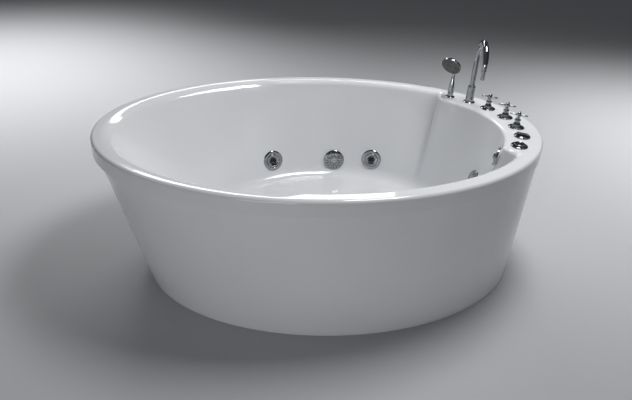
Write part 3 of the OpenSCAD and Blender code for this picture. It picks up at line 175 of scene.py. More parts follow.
def basin_edge(tub):
    """Points round the basin's edge in plan, its corners softened, with the roll's radius at each"""
    step = 0.001
    deck_points = 900
    th = np.concatenate([np.linspace(DECK_FRONT[0], DECK_BACK[0], deck_points),
                         np.linspace(DECK_BACK[1], 2 * pi + DECK_FRONT[1], 4 * deck_points)])
    r = np.where(th <= DECK_BACK[0], deck_radius(tub, th), opening_radius(tub, th))
    corner = np.stack([r * np.cos(th), r * np.sin(th)], 1)
    loop = np.vstack([corner, corner[:1]])
    run = np.concatenate([[0], np.cumsum(np.hypot(*np.diff(loop, axis=0).T))])
    samples = int(run[-1] / step)
    at = np.arange(samples) * run[-1] / samples
    x, y = np.interp(at, run, loop[:, 0]), np.interp(at, run, loop[:, 1])
    ends = (run[deck_points - 1], run[deck_points], run[len(corner) - 1], run[-1])
    leaving, coming = 1 - (at - ends[0]) / (ends[1] - ends[0]), (at - ends[2]) / (ends[3] - ends[2])
    on_deck = np.where(at <= ends[0], 1.0, np.where(at < ends[1], leaving, np.where(at < ends[2], 0.0, coming)))
    kernel = np.exp(-0.5 * (np.arange(-CORNER_REACH, CORNER_REACH + 1) / CORNER_SPREAD) ** 2)
    kernel /= kernel.sum()
    soft = [np.convolve(np.concatenate([v[-CORNER_REACH:], v, v[:CORNER_REACH]]), kernel, "valid")
            for v in (x, y, on_deck)]
    near = np.zeros(samples)
    for end in ends:
        d = np.abs(at - end % run[-1])
        near = np.maximum(near, np.exp(-(np.minimum(d, run[-1] - d) / FINE_RANGE) ** 2))
    share = np.cumsum(1 / (WIDE_STEP - FINE_SHARE * near))
    columns = int(share[-1] * step)
    pick = np.searchsorted(share, (np.arange(columns) + 0.5) * share[-1] / columns)
    points = np.stack([soft[0][pick], soft[1][pick]], 1)
    ahead = np.roll(points, -1, 0) - np.roll(points, 1, 0)
    normal = np.stack([ahead[:, 1], -ahead[:, 0]], 1)
    normal /= np.hypot(*normal.T)[:, None]
    th = np.arctan2(points[:, 1], points[:, 0])
    plain = tub.inner_roll + (tub.backrest_roll - tub.inner_roll) * (
        smooth((np.abs(th) - BACKREST_START) / BACKREST_BLEND))
    roll = tub.deck_roll + (plain - tub.deck_roll) * (1 - smooth(soft[2][pick]))
    return points, normal, th, roll


# Mesh helpers

def new_piece(name, vertices, faces, flat=False):
    """Object at the origin with its place in its mesh, faces smooth"""
    mesh = bpy.data.meshes.new(name)
    mesh.from_pydata([tuple(v) for v in vertices], [], faces)
    mesh.update()
    if not flat:
        mesh.shade_smooth()
    return linked(name, mesh)


def closed_grid(rows, columns, pole=None):
    """Faces of a grid whose rows run round, with an optional pole after the last row"""
    faces = []
    for i in range(rows - 1):
        for j in range(columns):
            k = (j + 1) % columns
            faces.append((i * columns + j, i * columns + k, (i + 1) * columns + k, (i + 1) * columns + j))
    if pole is not None:
        last = (rows - 1) * columns
        faces += [(last + j, last + (j + 1) % columns, pole) for j in range(columns)]
    return faces


def turned(name, profile, place=None, segments=96, sharp=32.0):
    """Piece turned round Z from (radius, height) pairs in millimetres, listed from the lowest up the outside"""
    vertices, rings = [], []
    for r, z in profile:
        if r < 1e-6:
            rings.append([len(vertices)])
            vertices.append((0, 0, z / 1000))
            continue
        rings.append(list(range(len(vertices), len(vertices) + segments)))
        vertices += [(r / 1000 * cos(2 * pi * k / segments), r / 1000 * sin(2 * pi * k / segments), z / 1000)
                     for k in range(segments)]
    faces = []
    loops = list(zip(rings, rings[1:]))
    if len(rings[0]) > 1 and len(rings[-1]) > 1:
        loops.append((rings[-1], rings[0]))
    for a, b in loops:
        for k in range(segments):
            n = (k + 1) % segments
            if len(a) > 1 and len(b) > 1:
                faces.append((a[k], a[n], b[n], b[k]))
            elif len(a) > 1:
                faces.append((a[k], a[n], b[0]))
            elif len(b) > 1:
                faces.append((a[0], b[n], b[k]))
    piece = new_piece(name, vertices, faces)
    if place is not None:
        piece.data.transform(place)
    piece.data.set_sharp_from_angle(angle=radians(sharp))
    return piece


def axes_at(point, normal, heading=None):
    """Matrix whose Z lies along the normal, at the point"""
    z = Vector(normal).normalized()
    side = Vector((0, 0, 1)) if abs(z.z) < 0.95 else Vector((1, 0, 0))
    x = side.cross(z).normalized()
    if heading is not None:
        x = Vector((cos(heading), sin(heading), 0))
        x = (x - x.dot(z) * z).normalized()
    y = z.cross(x)
    m = Matrix((x, y, z)).transposed().to_4x4()
    m.translation = Vector(point)
    return m


def above(node, level=0.6):
    """Centre of a CAD node in plan, at the deck or at another level"""
    low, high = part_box(node)
    return Vector(((low.x + high.x) / 2, (low.y + high.y) / 2, level))


def finish_piece(piece, body, material, slot, *replaced):
    piece.data.materials.clear()
    piece.data.materials.append(bpy.data.materials[material])
    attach(piece, body)
    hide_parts(*replaced)


def chromed(piece, body, *replaced):
    finish_piece(piece, body, "bright_chrome", "chrome", *replaced)


def linked(name, mesh):
    piece = bpy.data.objects.new(name, mesh)
    bpy.context.scene.collection.objects.link(piece)
    return piece


def from_tool(name, tool):
    """Object from an edit mesh, which is freed"""
    mesh = bpy.data.meshes.new(name)
    tool.to_mesh(mesh)
    tool.free()
    return linked(name, mesh)


# Turned and swept fittings

def eased(points, radius=0.7, steps=4):
    """Profile with its inner corners rounded; a third value gives a corner its own radius"""
    out = []
    for i, point in enumerate(points):
        reach = point[2] if len(point) > 2 else radius
        if i in (0, len(points) - 1) or reach == 0:
            out.append(tuple(point[:2]))
            continue
        here = Vector(point[:2])
        back, on = Vector(points[i - 1][:2]) - here, Vector(points[i + 1][:2]) - here
        reach = min(reach, back.length * 0.48, on.length * 0.48)
        start, end = here + back.normalized() * reach, here + on.normalized() * reach
        for k in range(steps + 1):
            t = k / steps
            out.append(tuple((1 - t) ** 2 * start + 2 * t * (1 - t) * here + t * t * end))
    return out


def lathe(name, points, place=None, segments=96, sharp=32.0, steps=4):
    """Turned piece whose profile has rounded corners"""
    return turned(name, eased(points, steps=steps), place, segments, sharp)


def swept(name, path, radii, sides=48):
    """Closed tube along points in metres, its sections carried along without twist"""
    path = [Vector(p) for p in path]
    side = None
    vertices = []
    for i, point in enumerate(path):
        ahead = (path[min(i + 1, len(path) - 1)] - path[max(i - 1, 0)]).normalized()
        if side is None:
            side = ahead.cross(Vector((1, 0, 0)) if abs(ahead.x) < 0.8 else Vector((0, 1, 0))).normalized()
        side = (side - side.dot(ahead) * ahead).normalized()
        other = ahead.cross(side)
        r = radii if isinstance(radii, float) else radii[i]
        vertices += [point + r * (cos(2 * pi * k / sides) * side + sin(2 * pi * k / sides) * other)
                     for k in range(sides)]
    faces = closed_grid(len(path), sides)
    faces += [tuple(reversed(range(sides))), tuple(range((len(path) - 1) * sides, len(path) * sides))]
    piece = new_piece(name, vertices, faces)
    piece.data.set_sharp_from_angle(angle=radians(40))
    return piece


def joined(name, pieces):
    """One piece from several closed ones"""
    tool = bmesh.new()
    for piece in pieces:
        tool.from_mesh(piece.data)
    for piece in pieces:
        bpy.data.objects.remove(piece)
    return from_tool(name, tool)


def rounded_block(name, size, edge=0.0006, shift=(0, 0, 0)):
    """Small block with rounded edges, its size and place in metres"""
    tool = bmesh.new()
    made = bmesh.ops.create_cube(tool, size=1.0)
    bmesh.ops.scale(tool, vec=size, verts=made["verts"])
    bmesh.ops.translate(tool, vec=shift, verts=made["verts"])
    bmesh.ops.bevel(tool, geom=tool.edges[:], offset=edge, segments=2, affect="EDGES", profile=0.6)
    piece = from_tool(name, tool)
    piece.data.shade_smooth()
    return piece


def worked_out(tree, operation, *values):
    """Maths node from sockets and numbers; returns its result"""
    node = tree.nodes.new("ShaderNodeMath")
    node.operation = operation
    for socket, value in zip(node.inputs, values):
        if isinstance(value, (int, float)):
            socket.default_value = value
        else:
            tree.links.new(value, socket)
    return node.outputs[0]


def build_ring_group():
    """Geometry group that sets copies of an object evenly round Z, each with its X axis outward"""
    group = bpy.data.node_groups.new("Ring of copies", "GeometryNodeTree")
    face = group.interface
    face.new_socket("Geometry", in_out="OUTPUT", socket_type="NodeSocketGeometry")
    face.new_socket("Geometry", in_out="INPUT", socket_type="NodeSocketGeometry")
    face.new_socket("Copy", in_out="INPUT", socket_type="NodeSocketObject")
    count = face.new_socket("Count", in_out="INPUT", socket_type="NodeSocketInt")
    count.default_value, count.min_value = 12, 1
    radius = face.new_socket("Radius", in_out="INPUT", socket_type="NodeSocketFloat")
    radius.default_value, radius.subtype = 0.01, "DISTANCE"
    turn = face.new_socket("Turn", in_out="INPUT", socket_type="NodeSocketFloat")
    turn.subtype = "ANGLE"
    face.new_socket("Material", in_out="INPUT", socket_type="NodeSocketMaterial")
    nodes, links = group.nodes, group.links
    given = nodes.new("NodeGroupInput")
    out = nodes.new("NodeGroupOutput")
    copy = nodes.new("GeometryNodeObjectInfo")
    links.new(given.outputs["Copy"], copy.inputs["Object"])
    points = nodes.new("GeometryNodePoints")
    links.new(given.outputs["Count"], points.inputs["Count"])
    index = nodes.new("GeometryNodeInputIndex")
    share = worked_out(group, "DIVIDE", index.outputs[0], given.outputs["Count"])
    angle = worked_out(group, "MULTIPLY_ADD", share, 2 * pi, given.outputs["Turn"])
    spin = nodes.new("ShaderNodeCombineXYZ")
    links.new(angle, spin.inputs["Z"])
    outward = nodes.new("ShaderNodeCombineXYZ")
    links.new(given.outputs["Radius"], outward.inputs["X"])
    place = nodes.new("ShaderNodeVectorRotate")
    place.rotation_type = "Z_AXIS"
    links.new(outward.outputs[0], place.inputs["Vector"])
    links.new(angle, place.inputs["Angle"])
    links.new(place.outputs[0], points.inputs["Position"])
    copies = nodes.new("GeometryNodeInstanceOnPoints")
    links.new(points.outputs[0], copies.inputs["Points"])
    links.new(copy.outputs["Geometry"], copies.inputs["Instance"])
    turned_by = nodes.new("FunctionNodeEulerToRotation")
    links.new(spin.outputs[0], turned_by.inputs[0])
    links.new(turned_by.outputs[0], copies.inputs["Rotation"])
    join = nodes.new("GeometryNodeJoinGeometry")
    links.new(copies.outputs[0], join.inputs[0])
    links.new(given.outputs["Geometry"], join.inputs[0])
    real = nodes.new("GeometryNodeRealizeInstances")
    links.new(join.outputs[0], real.inputs[0])
    paint = nodes.new("GeometryNodeSetMaterial")
    links.new(real.outputs[0], paint.inputs["Geometry"])
    links.new(given.outputs["Material"], paint.inputs["Material"])
    links.new(paint.outputs[0], out.inputs[0])
    return group


def with_ring(piece, copy, count, radius, material, turn=0.0, keep=False):
    """Adds copies of an object round the piece's Z axis and leaves a plain mesh"""
    group = bpy.data.node_groups.get("Ring of copies") or build_ring_group()
    ring = piece.modifiers.new("Ring", "NODES")
    ring.node_group = group
    values = {"Copy": copy, "Count": count, "Radius": radius, "Turn": turn,
              "Material": bpy.data.materials[material]}
    for item in group.interface.items_tree:
        if item.item_type == "SOCKET" and item.in_out == "INPUT" and item.name in values:
            ring[item.identifier] = values[item.name]
    applied(piece)
    if not keep:
        bpy.data.objects.remove(copy)
    return piece


def placed(piece, place):
    piece.data.transform(place)
    piece.data.update()
    return piece


def at_deck(node):
    return axes_at(above(node), FLAT, 0.0)


def turned_at(place, heading):
    return place @ Matrix.Rotation(heading, 4, "Z")


# Shader groups, which put out colours, values and heights only

def shader_group(name, inputs, outputs):
    group = bpy.data.node_groups.new(name, "ShaderNodeTree")
    for label, kind, value in inputs:
        socket = group.interface.new_socket(label, in_out="INPUT", socket_type=kind)
        socket.default_value = value
    for label, kind in outputs:
        group.interface.new_socket(label, in_out="OUTPUT", socket_type=kind)
    return group, group.nodes.new("NodeGroupInput"), group.nodes.new("NodeGroupOutput")


def noise_from(group, scale, detail, stretch=None):
    """Noise on the object's own coordinates, its scale from a socket"""
    place = group.nodes.new("ShaderNodeTexCoord")
    source = place.outputs["Object"]
    if stretch:
        mapping = group.nodes.new("ShaderNodeMapping")
        mapping.inputs["Scale"].default_value = stretch
        group.links.new(source, mapping.inputs["Vector"])
        source = mapping.outputs["Vector"]
    noise = group.nodes.new("ShaderNodeTexNoise")
    noise.inputs["Detail"].default_value = detail
    group.links.new(source, noise.inputs["Vector"])
    group.links.new(scale, noise.inputs["Scale"])
    return noise.outputs["Fac"]


def ranged(group, value, low, high, start=0.35, end=0.65):
    node = group.nodes.new("ShaderNodeMapRange")
    node.inputs["From Min"].default_value = start
    node.inputs["From Max"].default_value = end
    group.links.new(value, node.inputs["Value"])
    for socket, end_value in (("To Min", low), ("To Max", high)):
        if isinstance(end_value, (int, float)):
            node.inputs[socket].default_value = end_value
        else:
            group.links.new(end_value, node.inputs[socket])
    return node.outputs["Result"]


def mixed(tree, share, first, second, target):
    """Mixes two colours by a share into the target socket"""
    mix = tree.nodes.new("ShaderNodeMix")
    mix.data_type = "RGBA"
    tree.links.new(share, mix.inputs["Factor"])
    tree.links.new(first, mix.inputs[6])
    tree.links.new(second, mix.inputs[7])
    tree.links.new(mix.outputs[2], target)


def build_groups():
    tone, given, out = shader_group("Tone drift", [
        ("Colour", "NodeSocketColor", (0.8, 0.8, 0.8, 1)), ("Second", "NodeSocketColor", (0.7, 0.7, 0.7, 1)),
        ("Scale", "NodeSocketFloat", 6.0)], [("Colour", "NodeSocketColor")])
    drift = ranged(tone, noise_from(tone, given.outputs["Scale"], 5.0), 0.0, 1.0)
    mixed(tone, drift, given.outputs["Colour"], given.outputs["Second"], out.inputs["Colour"])

    smear, given, out = shader_group("Water marks", [
        ("Low", "NodeSocketFloat", 0.05), ("High", "NodeSocketFloat", 0.15), ("Scale", "NodeSocketFloat", 20.0)],
        [("Roughness", "NodeSocketFloat")])
    wide = noise_from(smear, given.outputs["Scale"], 6.0, (1.0, 1.0, 0.35))
    marked = ranged(smear, wide, given.outputs["Low"], given.outputs["High"], 0.38, 0.72)
    smear.links.new(marked, out.inputs["Roughness"])

    peel, given, out = shader_group("Surface ripple", [
        ("Scale", "NodeSocketFloat", 150.0), ("Fine", "NodeSocketFloat", 900.0), ("Share", "NodeSocketFloat", 0.3)],
        [("Height", "NodeSocketFloat")])
    mix = peel.nodes.new("ShaderNodeMix")
    mix.data_type = "FLOAT"
    peel.links.new(given.outputs["Share"], mix.inputs[0])
    peel.links.new(noise_from(peel, given.outputs["Scale"], 2.0), mix.inputs[2])
    peel.links.new(noise_from(peel, given.outputs["Fine"], 3.0), mix.inputs[3])
    peel.links.new(mix.outputs[0], out.inputs["Height"])

    worn, given, out = shader_group("Worn edges", [
        ("Colour", "NodeSocketColor", (0.1, 0.1, 0.1, 1)), ("Bare", "NodeSocketColor", (0.5, 0.5, 0.5, 1)),
        ("Amount", "NodeSocketFloat", 0.5), ("Scale", "NodeSocketFloat", 60.0)],
        [("Colour", "NodeSocketColor"), ("Mask", "NodeSocketFloat")])
    edge = worn.nodes.new("ShaderNodeNewGeometry")
    mask = ranged(worn, edge.outputs["Pointiness"], 0.0, 1.0, 0.51, 0.57)
    patch = ranged(worn, noise_from(worn, given.outputs["Scale"], 5.0), 0.0, 1.0, 0.45, 0.62)
    both = worked_out(worn, "MULTIPLY", mask, patch)
    share = worked_out(worn, "MULTIPLY", both, given.outputs["Amount"])
    mixed(worn, share, given.outputs["Colour"], given.outputs["Bare"], out.inputs["Colour"])
    worn.links.new(share, out.inputs["Mask"])


def shaded(colour):
    return (*colour, 1.0)


def finish_material(name, colour, second, rough, ripple, tone_scale, mark_scale, metallic=0.0, bare=None):
    """Material with drifting tone, marks in its gloss and a fine ripple.
    rough is (low, high); ripple is (scale, fine scale, share of fine, height in metres)"""
    material = bpy.data.materials.new(name)
    material.use_nodes = True
    nodes, links = material.node_tree.nodes, material.node_tree.links
    shader = nodes["Principled BSDF"]
    shader.inputs["Metallic"].default_value = metallic
    shader.inputs["IOR"].default_value = 1.5

    def group(kind, **values):
        node = nodes.new("ShaderNodeGroup")
        node.node_tree = bpy.data.node_groups[kind]
        for label, value in values.items():
            node.inputs[label].default_value = value
        return node

    tone = group("Tone drift", Colour=shaded(colour), Second=shaded(second), Scale=tone_scale)
    source = tone.outputs["Colour"]
    if bare:
        worn = group("Worn edges", Bare=shaded(bare), Amount=0.8, Scale=60.0)
        links.new(source, worn.inputs["Colour"])
        source = worn.outputs["Colour"]
    links.new(source, shader.inputs["Base Color"])
    marks = group("Water marks", Low=rough[0], High=rough[1], Scale=mark_scale)
    links.new(marks.outputs["Roughness"], shader.inputs["Roughness"])
    surface = group("Surface ripple", Scale=ripple[0], Fine=ripple[1], Share=ripple[2])
    bump = nodes.new("ShaderNodeBump")
    bump.inputs["Distance"].default_value = ripple[3]
    bump.inputs["Strength"].default_value = 1.0
    links.new(surface.outputs["Height"], bump.inputs["Height"])
    links.new(bump.outputs["Normal"], shader.inputs["Normal"])
    return material


def build_finishes(look):
    def dim(colour, share):
        return tuple(c * share for c in colour)

    gloss, white, chrome = look.enamel_gloss, tuple(look.enamel), tuple(look.chrome)
    finish_material("gloss_enamel", white, dim(white, 0.975), (gloss * 0.8, gloss * 1.5), (30, 200, 0.2, 0.00003),
                    3.0, 9.0)
    finish_material("bright_chrome", chrome, dim(chrome, 0.93), (0.02, 0.06), (60, 700, 0.5, 0.000008), 14.0, 45.0,
                    1.0)
    finish_material("insert_plastic", tuple(look.insert), dim(look.insert, 0.7), (0.22, 0.38),
                    (300, 1500, 0.5, 0.00003), 20.0, 60.0)
    finish_material("spray_face", tuple(look.spray), dim(look.spray, 0.75), (0.25, 0.42), (300, 1500, 0.5, 0.00004),
                    60.0, 60.0)
    finish_material("cast_brass", (0.60, 0.43, 0.20), (0.42, 0.28, 0.12), (0.25, 0.45), (220, 1400, 0.6, 0.00015),
                    30.0, 70.0, 1.0, (0.78, 0.62, 0.33))
    finish_material("pipe_plastic", (0.78, 0.78, 0.75), (0.70, 0.70, 0.66), (0.30, 0.45), (80, 900, 0.4, 0.00006),
                    8.0, 30.0)
    finish_material("moulded_black", (0.035, 0.035, 0.038), (0.055, 0.055, 0.06), (0.35, 0.55),
                    (500, 1800, 0.5, 0.00005), 18.0, 40.0)
    finish_material("motor_lacquer", tuple(look.motor), dim(look.motor, 0.75), (0.28, 0.5), (140, 900, 0.4, 0.0001),
                    12.0, 35.0, 0.0, (0.55, 0.55, 0.56))
    finish_material("zinc_steel", (0.47, 0.48, 0.49), (0.36, 0.37, 0.39), (0.3, 0.5), (90, 1200, 0.6, 0.00006),
                    45.0, 80.0, 1.0, (0.62, 0.62, 0.62))
    finish_material("pad_rubber", (0.03, 0.03, 0.03), (0.05, 0.05, 0.048), (0.6, 0.8), (400, 2000, 0.6, 0.0001),
                    25.0, 50.0)
    finish_material("ground_steel", (0.56, 0.56, 0.57), (0.47, 0.47, 0.48), (0.16, 0.3), (30, 1800, 0.8, 0.00003),
                    30.0, 90.0, 1.0)


SLOT_MATERIAL = {
    "enamel": "gloss_enamel", "chrome": "bright_chrome", "grey_plastic": "insert_plastic", "brass": "cast_brass",
    "white_plastic": "pipe_plastic", "black_plastic": "moulded_black", "motor_paint": "motor_lacquer",
    "frame_steel": "zinc_steel", "rubber": "pad_rubber", "bare_steel": "ground_steel",
}


# Main pieces

def shell_rows(tub):
    """Rows of the shell's upper face, from the lip's foot in to the edge of the floor"""
    edge, normal, th, roll = basin_edge(tub)
    ray = np.stack([np.cos(th), np.sin(th)], 1)
    rim = rim_radius(tub, th)
    foot = foot_radius(th)
    drop = tub.height - tub.floor_level
    lean = np.arctan((np.hypot(*edge.T) - foot) / drop)
    turn = pi / 2 - lean
    rows = []

    def row(plan, z):
        rows.append(np.column_stack([plan, np.broadcast_to(z, len(plan))]))

    outer = tub.outer_roll
    lip = tub.height - tub.lip
    for z in np.linspace(lip, tub.height - outer, LIP_ROWS):
        row(ray * rim[:, None], z)
    for p in np.linspace(0, pi / 2, OUTER_ROWS)[1:]:
        row(ray * (rim - outer * (1 - cos(p)))[:, None], tub.height - outer * (1 - sin(p)))
    rim_top = ray * (rim - outer)[:, None]
    roll_start = edge + normal * (roll * np.tan(turn / 2))[:, None]
    for share in np.linspace(0, 1, RIM_ROWS)[1:]:
        row(rim_top + (roll_start - rim_top) * share, tub.height)
    for k in np.linspace(0, 1, ROLL_ROWS)[1:]:
        p = turn * k
        row(roll_start - normal * (roll * np.sin(p))[:, None], tub.height - roll * (1 - np.cos(p)))
    top = rows[-1]
    fillet = tub.floor_fillet
    centre = foot - fillet * np.tan(turn / 2)
    foot_top = np.column_stack([ray * (centre + fillet * np.sin(turn))[:, None],
                                tub.floor_level + fillet * (1 - np.cos(turn))])
    for share in np.linspace(0, 1, WALL_ROWS)[1:]:
        rows.append(top + (foot_top - top) * share)
    for k in np.linspace(1, 0, ROLL_ROWS)[1:]:
        p = turn * k
        row(ray * (centre + fillet * np.sin(p))[:, None], tub.floor_level + fillet * (1 - np.cos(p)))
    floor_edge = rows[-1].copy()
    middle = np.array([FLOOR_SHIFT, 0, tub.floor_level])
    for share in np.linspace(1, 0, FLOOR_ROWS)[1:-1]:
        rows.append(middle + (floor_edge - middle) * share)
    return rows, middle


def cutter(places):
    """One mesh of round cutters from (matrix, radius, depth to each side)"""
    tool = bmesh.new()
    for place, radius, depth in places:
        made = bmesh.ops.create_cone(tool, cap_ends=True, segments=64, radius1=radius, radius2=radius,
                                     depth=2 * depth)
        bmesh.ops.transform(tool, matrix=place, verts=made["verts"])
    return from_tool("cutter", tool)


def thickened(piece, sheet):
    """Adds a modifier that gives the piece its sheet's thickness, inward"""
    wall = piece.modifiers.new("Sheet", "SOLIDIFY")
    wall.thickness, wall.offset = sheet, -1


def applied(piece):
    """Applies the piece's modifiers and keeps its name"""
    held = piece.evaluated_get(bpy.context.evaluated_depsgraph_get())
    mesh = bpy.data.meshes.new_from_object(held, depsgraph=bpy.context.evaluated_depsgraph_get())
    piece.modifiers.clear()
    piece.data = mesh
    return piece


def wall_normal_at(tub, angle, height):
    """Place on the basin's wall away from the deck, with its normal into the basin"""
    def radius(th):
        return foot_radius(th) + (opening_radius(tub, th) - foot_radius(th)) * (height - tub.floor_level) / (
            tub.height - tub.floor_level)

    step = radians(0.5)
    r = radius(angle)
    around = (radius(angle + step) - radius(angle - step)) / (2 * step) / r
    up = (opening_radius(tub, angle) - foot_radius(angle)) / (tub.height - tub.floor_level)
    normal = Vector((-cos(angle) - around * sin(angle), -sin(angle) + around * cos(angle), up)).normalized()
    return Vector((r * cos(angle), r * sin(angle), height)), normal


def jet_place(name):
    joint = JOINTS["ring_turn_" + name]
    return axes_at(joint["pos_m"], joint["axis"])


class BATHTUB_OT_finishes(bpy.types.Operator):
    """Builds the shader groups and the finishes, and gives each CAD node its own"""
    bl_idname = "bathtub.finishes"
    bl_label = "Finishes"

    def execute(self, context):
        build_groups()
        build_finishes(context.scene.bathtub_finish)
        for part in frame["record"]["subparts"]:
            node = NODES[part["node"]]
            node.data.materials.clear()
            node.data.materials.append(bpy.data.materials[SLOT_MATERIAL[part["material_slot"]]])
        return {"FINISHED"}


class BATHTUB_OT_shell(bpy.types.Operator):
    """Builds the enamelled shell: lip, rim, tap deck, walls and floor, with the holes for its fittings"""
    bl_idname = "bathtub.shell"
    bl_label = "Enamelled shell"

    def execute(self, context):
        tub = context.scene.bathtub_sizes
        rows, middle = shell_rows(tub)
        columns = len(rows[0])
        piece = new_piece("enamel_shell", [*np.vstack(rows), middle],
                          closed_grid(len(rows), columns, len(rows) * columns))
        thickened(piece, tub.sheet)
        holes = [(axes_at(above(node), FLAT), radius, DECK_HOLE_DEPTH) for node, radius in DECK_HOLES.items()]
        holes += [(jet_place(name), JET_HOLE, HOLE_DEPTH) for name in JET_NAMES]
        holes.append((axes_at(*wall_normal_at(tub, *SUCTION)), SUCTION_HOLE, HOLE_DEPTH))
        knob = JOINTS["overflow_turn"]
        holes.append((axes_at(knob["pos_m"], knob["axis"]), OVERFLOW_HOLE, HOLE_DEPTH))
        holes.append((axes_at(above("waste_flange", tub.floor_level), FLAT), WASTE_HOLE, HOLE_DEPTH))
        tool = cutter(holes)
        cut = piece.modifiers.new("Holes", "BOOLEAN")
        cut.solver = "EXACT"
        cut.object = tool
        applied(piece)
        bpy.data.objects.remove(tool)
        piece.data.set_sharp_from_angle(angle=radians(50))
        finish_piece(piece, "tub", "gloss_enamel", "enamel", "tub_shell", "tub_floor")
        return {"FINISHED"}


class BATHTUB_OT_skirt(bpy.types.Operator):
    """Builds the skirt that stands round the tub under its lip, with a rolled foot"""
    bl_idname = "bathtub.skirt"
    bl_label = "Skirt"

    def execute(self, context):
        tub = context.scene.bathtub_sizes
        columns = SKIRT_COLUMNS
        th = np.arange(columns) * 2 * pi / columns
        foot = ellipse_radius(SKIRT_HALF[0], SKIRT_HALF[1], th, FLOOR_SHIFT)
        top = ellipse_radius(tub.half_length - SKIRT_GAP, tub.half_width - SKIRT_GAP, th)
        rows = []
        for z in (0.0, 0.0006, 0.0018, 0.004, *np.linspace(0.02, SKIRT_TOP, 28)):
            edge = 0.0022 * (1 - min(z / 0.004, 1)) ** 2
            r = foot + (top - foot) * z / SKIRT_TOP - edge
            rows.append(np.column_stack([r * np.cos(th), r * np.sin(th), np.full(columns, z)]))
        piece = new_piece("enamel_skirt", np.vstack(rows), closed_grid(len(rows), columns))
        thickened(piece, tub.skirt_sheet)
        applied(piece)
        piece.data.set_sharp_from_angle(angle=radians(50))
        finish_piece(piece, "tub", "gloss_enamel", "enamel", "skirt")
        return {"FINISHED"}


class BATHTUB_OT_spout(bpy.types.Operator):
    """Builds the swan-neck spout with its flange, body, neck and fluted aerator"""
    bl_idname = "bathtub.spout"
    bl_label = "Spout"

    def execute(self, context):
        sizes = context.scene.bathtub_fittings
        deck = at_deck("spout_flange")
        flange = lathe("spout_flange_fine", [(14.1, 0), (24.5, 0), (24.5, 1.6, 0.8), (22.6, 3.4, 1.2),
            (20.5, 4, 1), (14.1, 4)], deck)
        chromed(flange, "tub", "spout_flange")
        body = lathe("spout_body_fine", [(8, -58), (13.2, -58, 0), (14, -57, 0), (14, 3.9, 0),
            (18.5, 4, 0.4), (18.5, 6.5, 1), (17.6, 7.6, 1), (17.9, 10, 2), (16.9, 40, 8), (16.5, 66, 2),
            (16.5, 70, 1.3), (11.05, 70, 0.3), (11.05, 24, 0), (8, 24)], deck)
        chromed(body, "tub", "spout_body")
        heading = radians(sizes.spout_heading)
        rise, bend, drop = sizes.spout_rise, sizes.spout_bend, SPOUT_DROP
        path = [(0, 0, 0.0243), (0, 0, 0.075)]
        path += [(0, 0, z) for z in np.linspace(0.09, rise, 10)]
        path += [(bend * (1 - cos(a)), 0, rise + bend * sin(a)) for a in np.linspace(0, pi, 61)[1:]]
        path += [(2 * bend, 0, rise - drop * 0.5), (2 * bend, 0, rise - drop)]
        tube = swept("neck_tube", path, sizes.spout_radius, 64)
        collar = lathe("neck_collar", [(11, 70.3), (13.5, 70.3, 0.5), (13.5, 73.4, 1.2), (12, 75.3, 0.8),
            (11, 75.3)])
        neck = placed(joined("spout_neck_fine", [tube, collar]), turned_at(deck, heading))
        chromed(neck, "spout", "spout_neck")
        end = lathe("aerator", [(0, -36.4), (6.5, -36.4, 0.2), (6.9, -38, 0.4), (8.2, -38, 0.5),
            (8.2, -27, 0), (8.5, -26.5, 0.3), (8.5, -24.5, 0.4), (7.9, -23.8, 0.3), (8.2, -23, 0.4),
            (8.4, -12, 0), (8.5, -4.2, 0.8), (11, -3.1, 0.5), (11, -0.6, 0.5), (9.3, 0, 0), (9.3, 9, 0),
            (0, 9)], segments=72)
        rib = rounded_block("rib", (0.0006, 0.0007, 0.0098), 0.00022)
        rib.data.transform(Matrix.Translation((0, 0, -0.0322)))
        end = with_ring(end, rib, 40, 0.0083, "bright_chrome")
        end.name = "spout_aerator_fine"
        placed(end, turned_at(deck, heading) @ Matrix.Translation((2 * bend, 0, rise - drop)))
        chromed(end, "spout", "spout_aerator")
        return {"FINISHED"}


HEAD = {"reach": 0.043, "height": 0.144, "heading": radians(-136), "tilt": radians(34), "radius": 44.0}


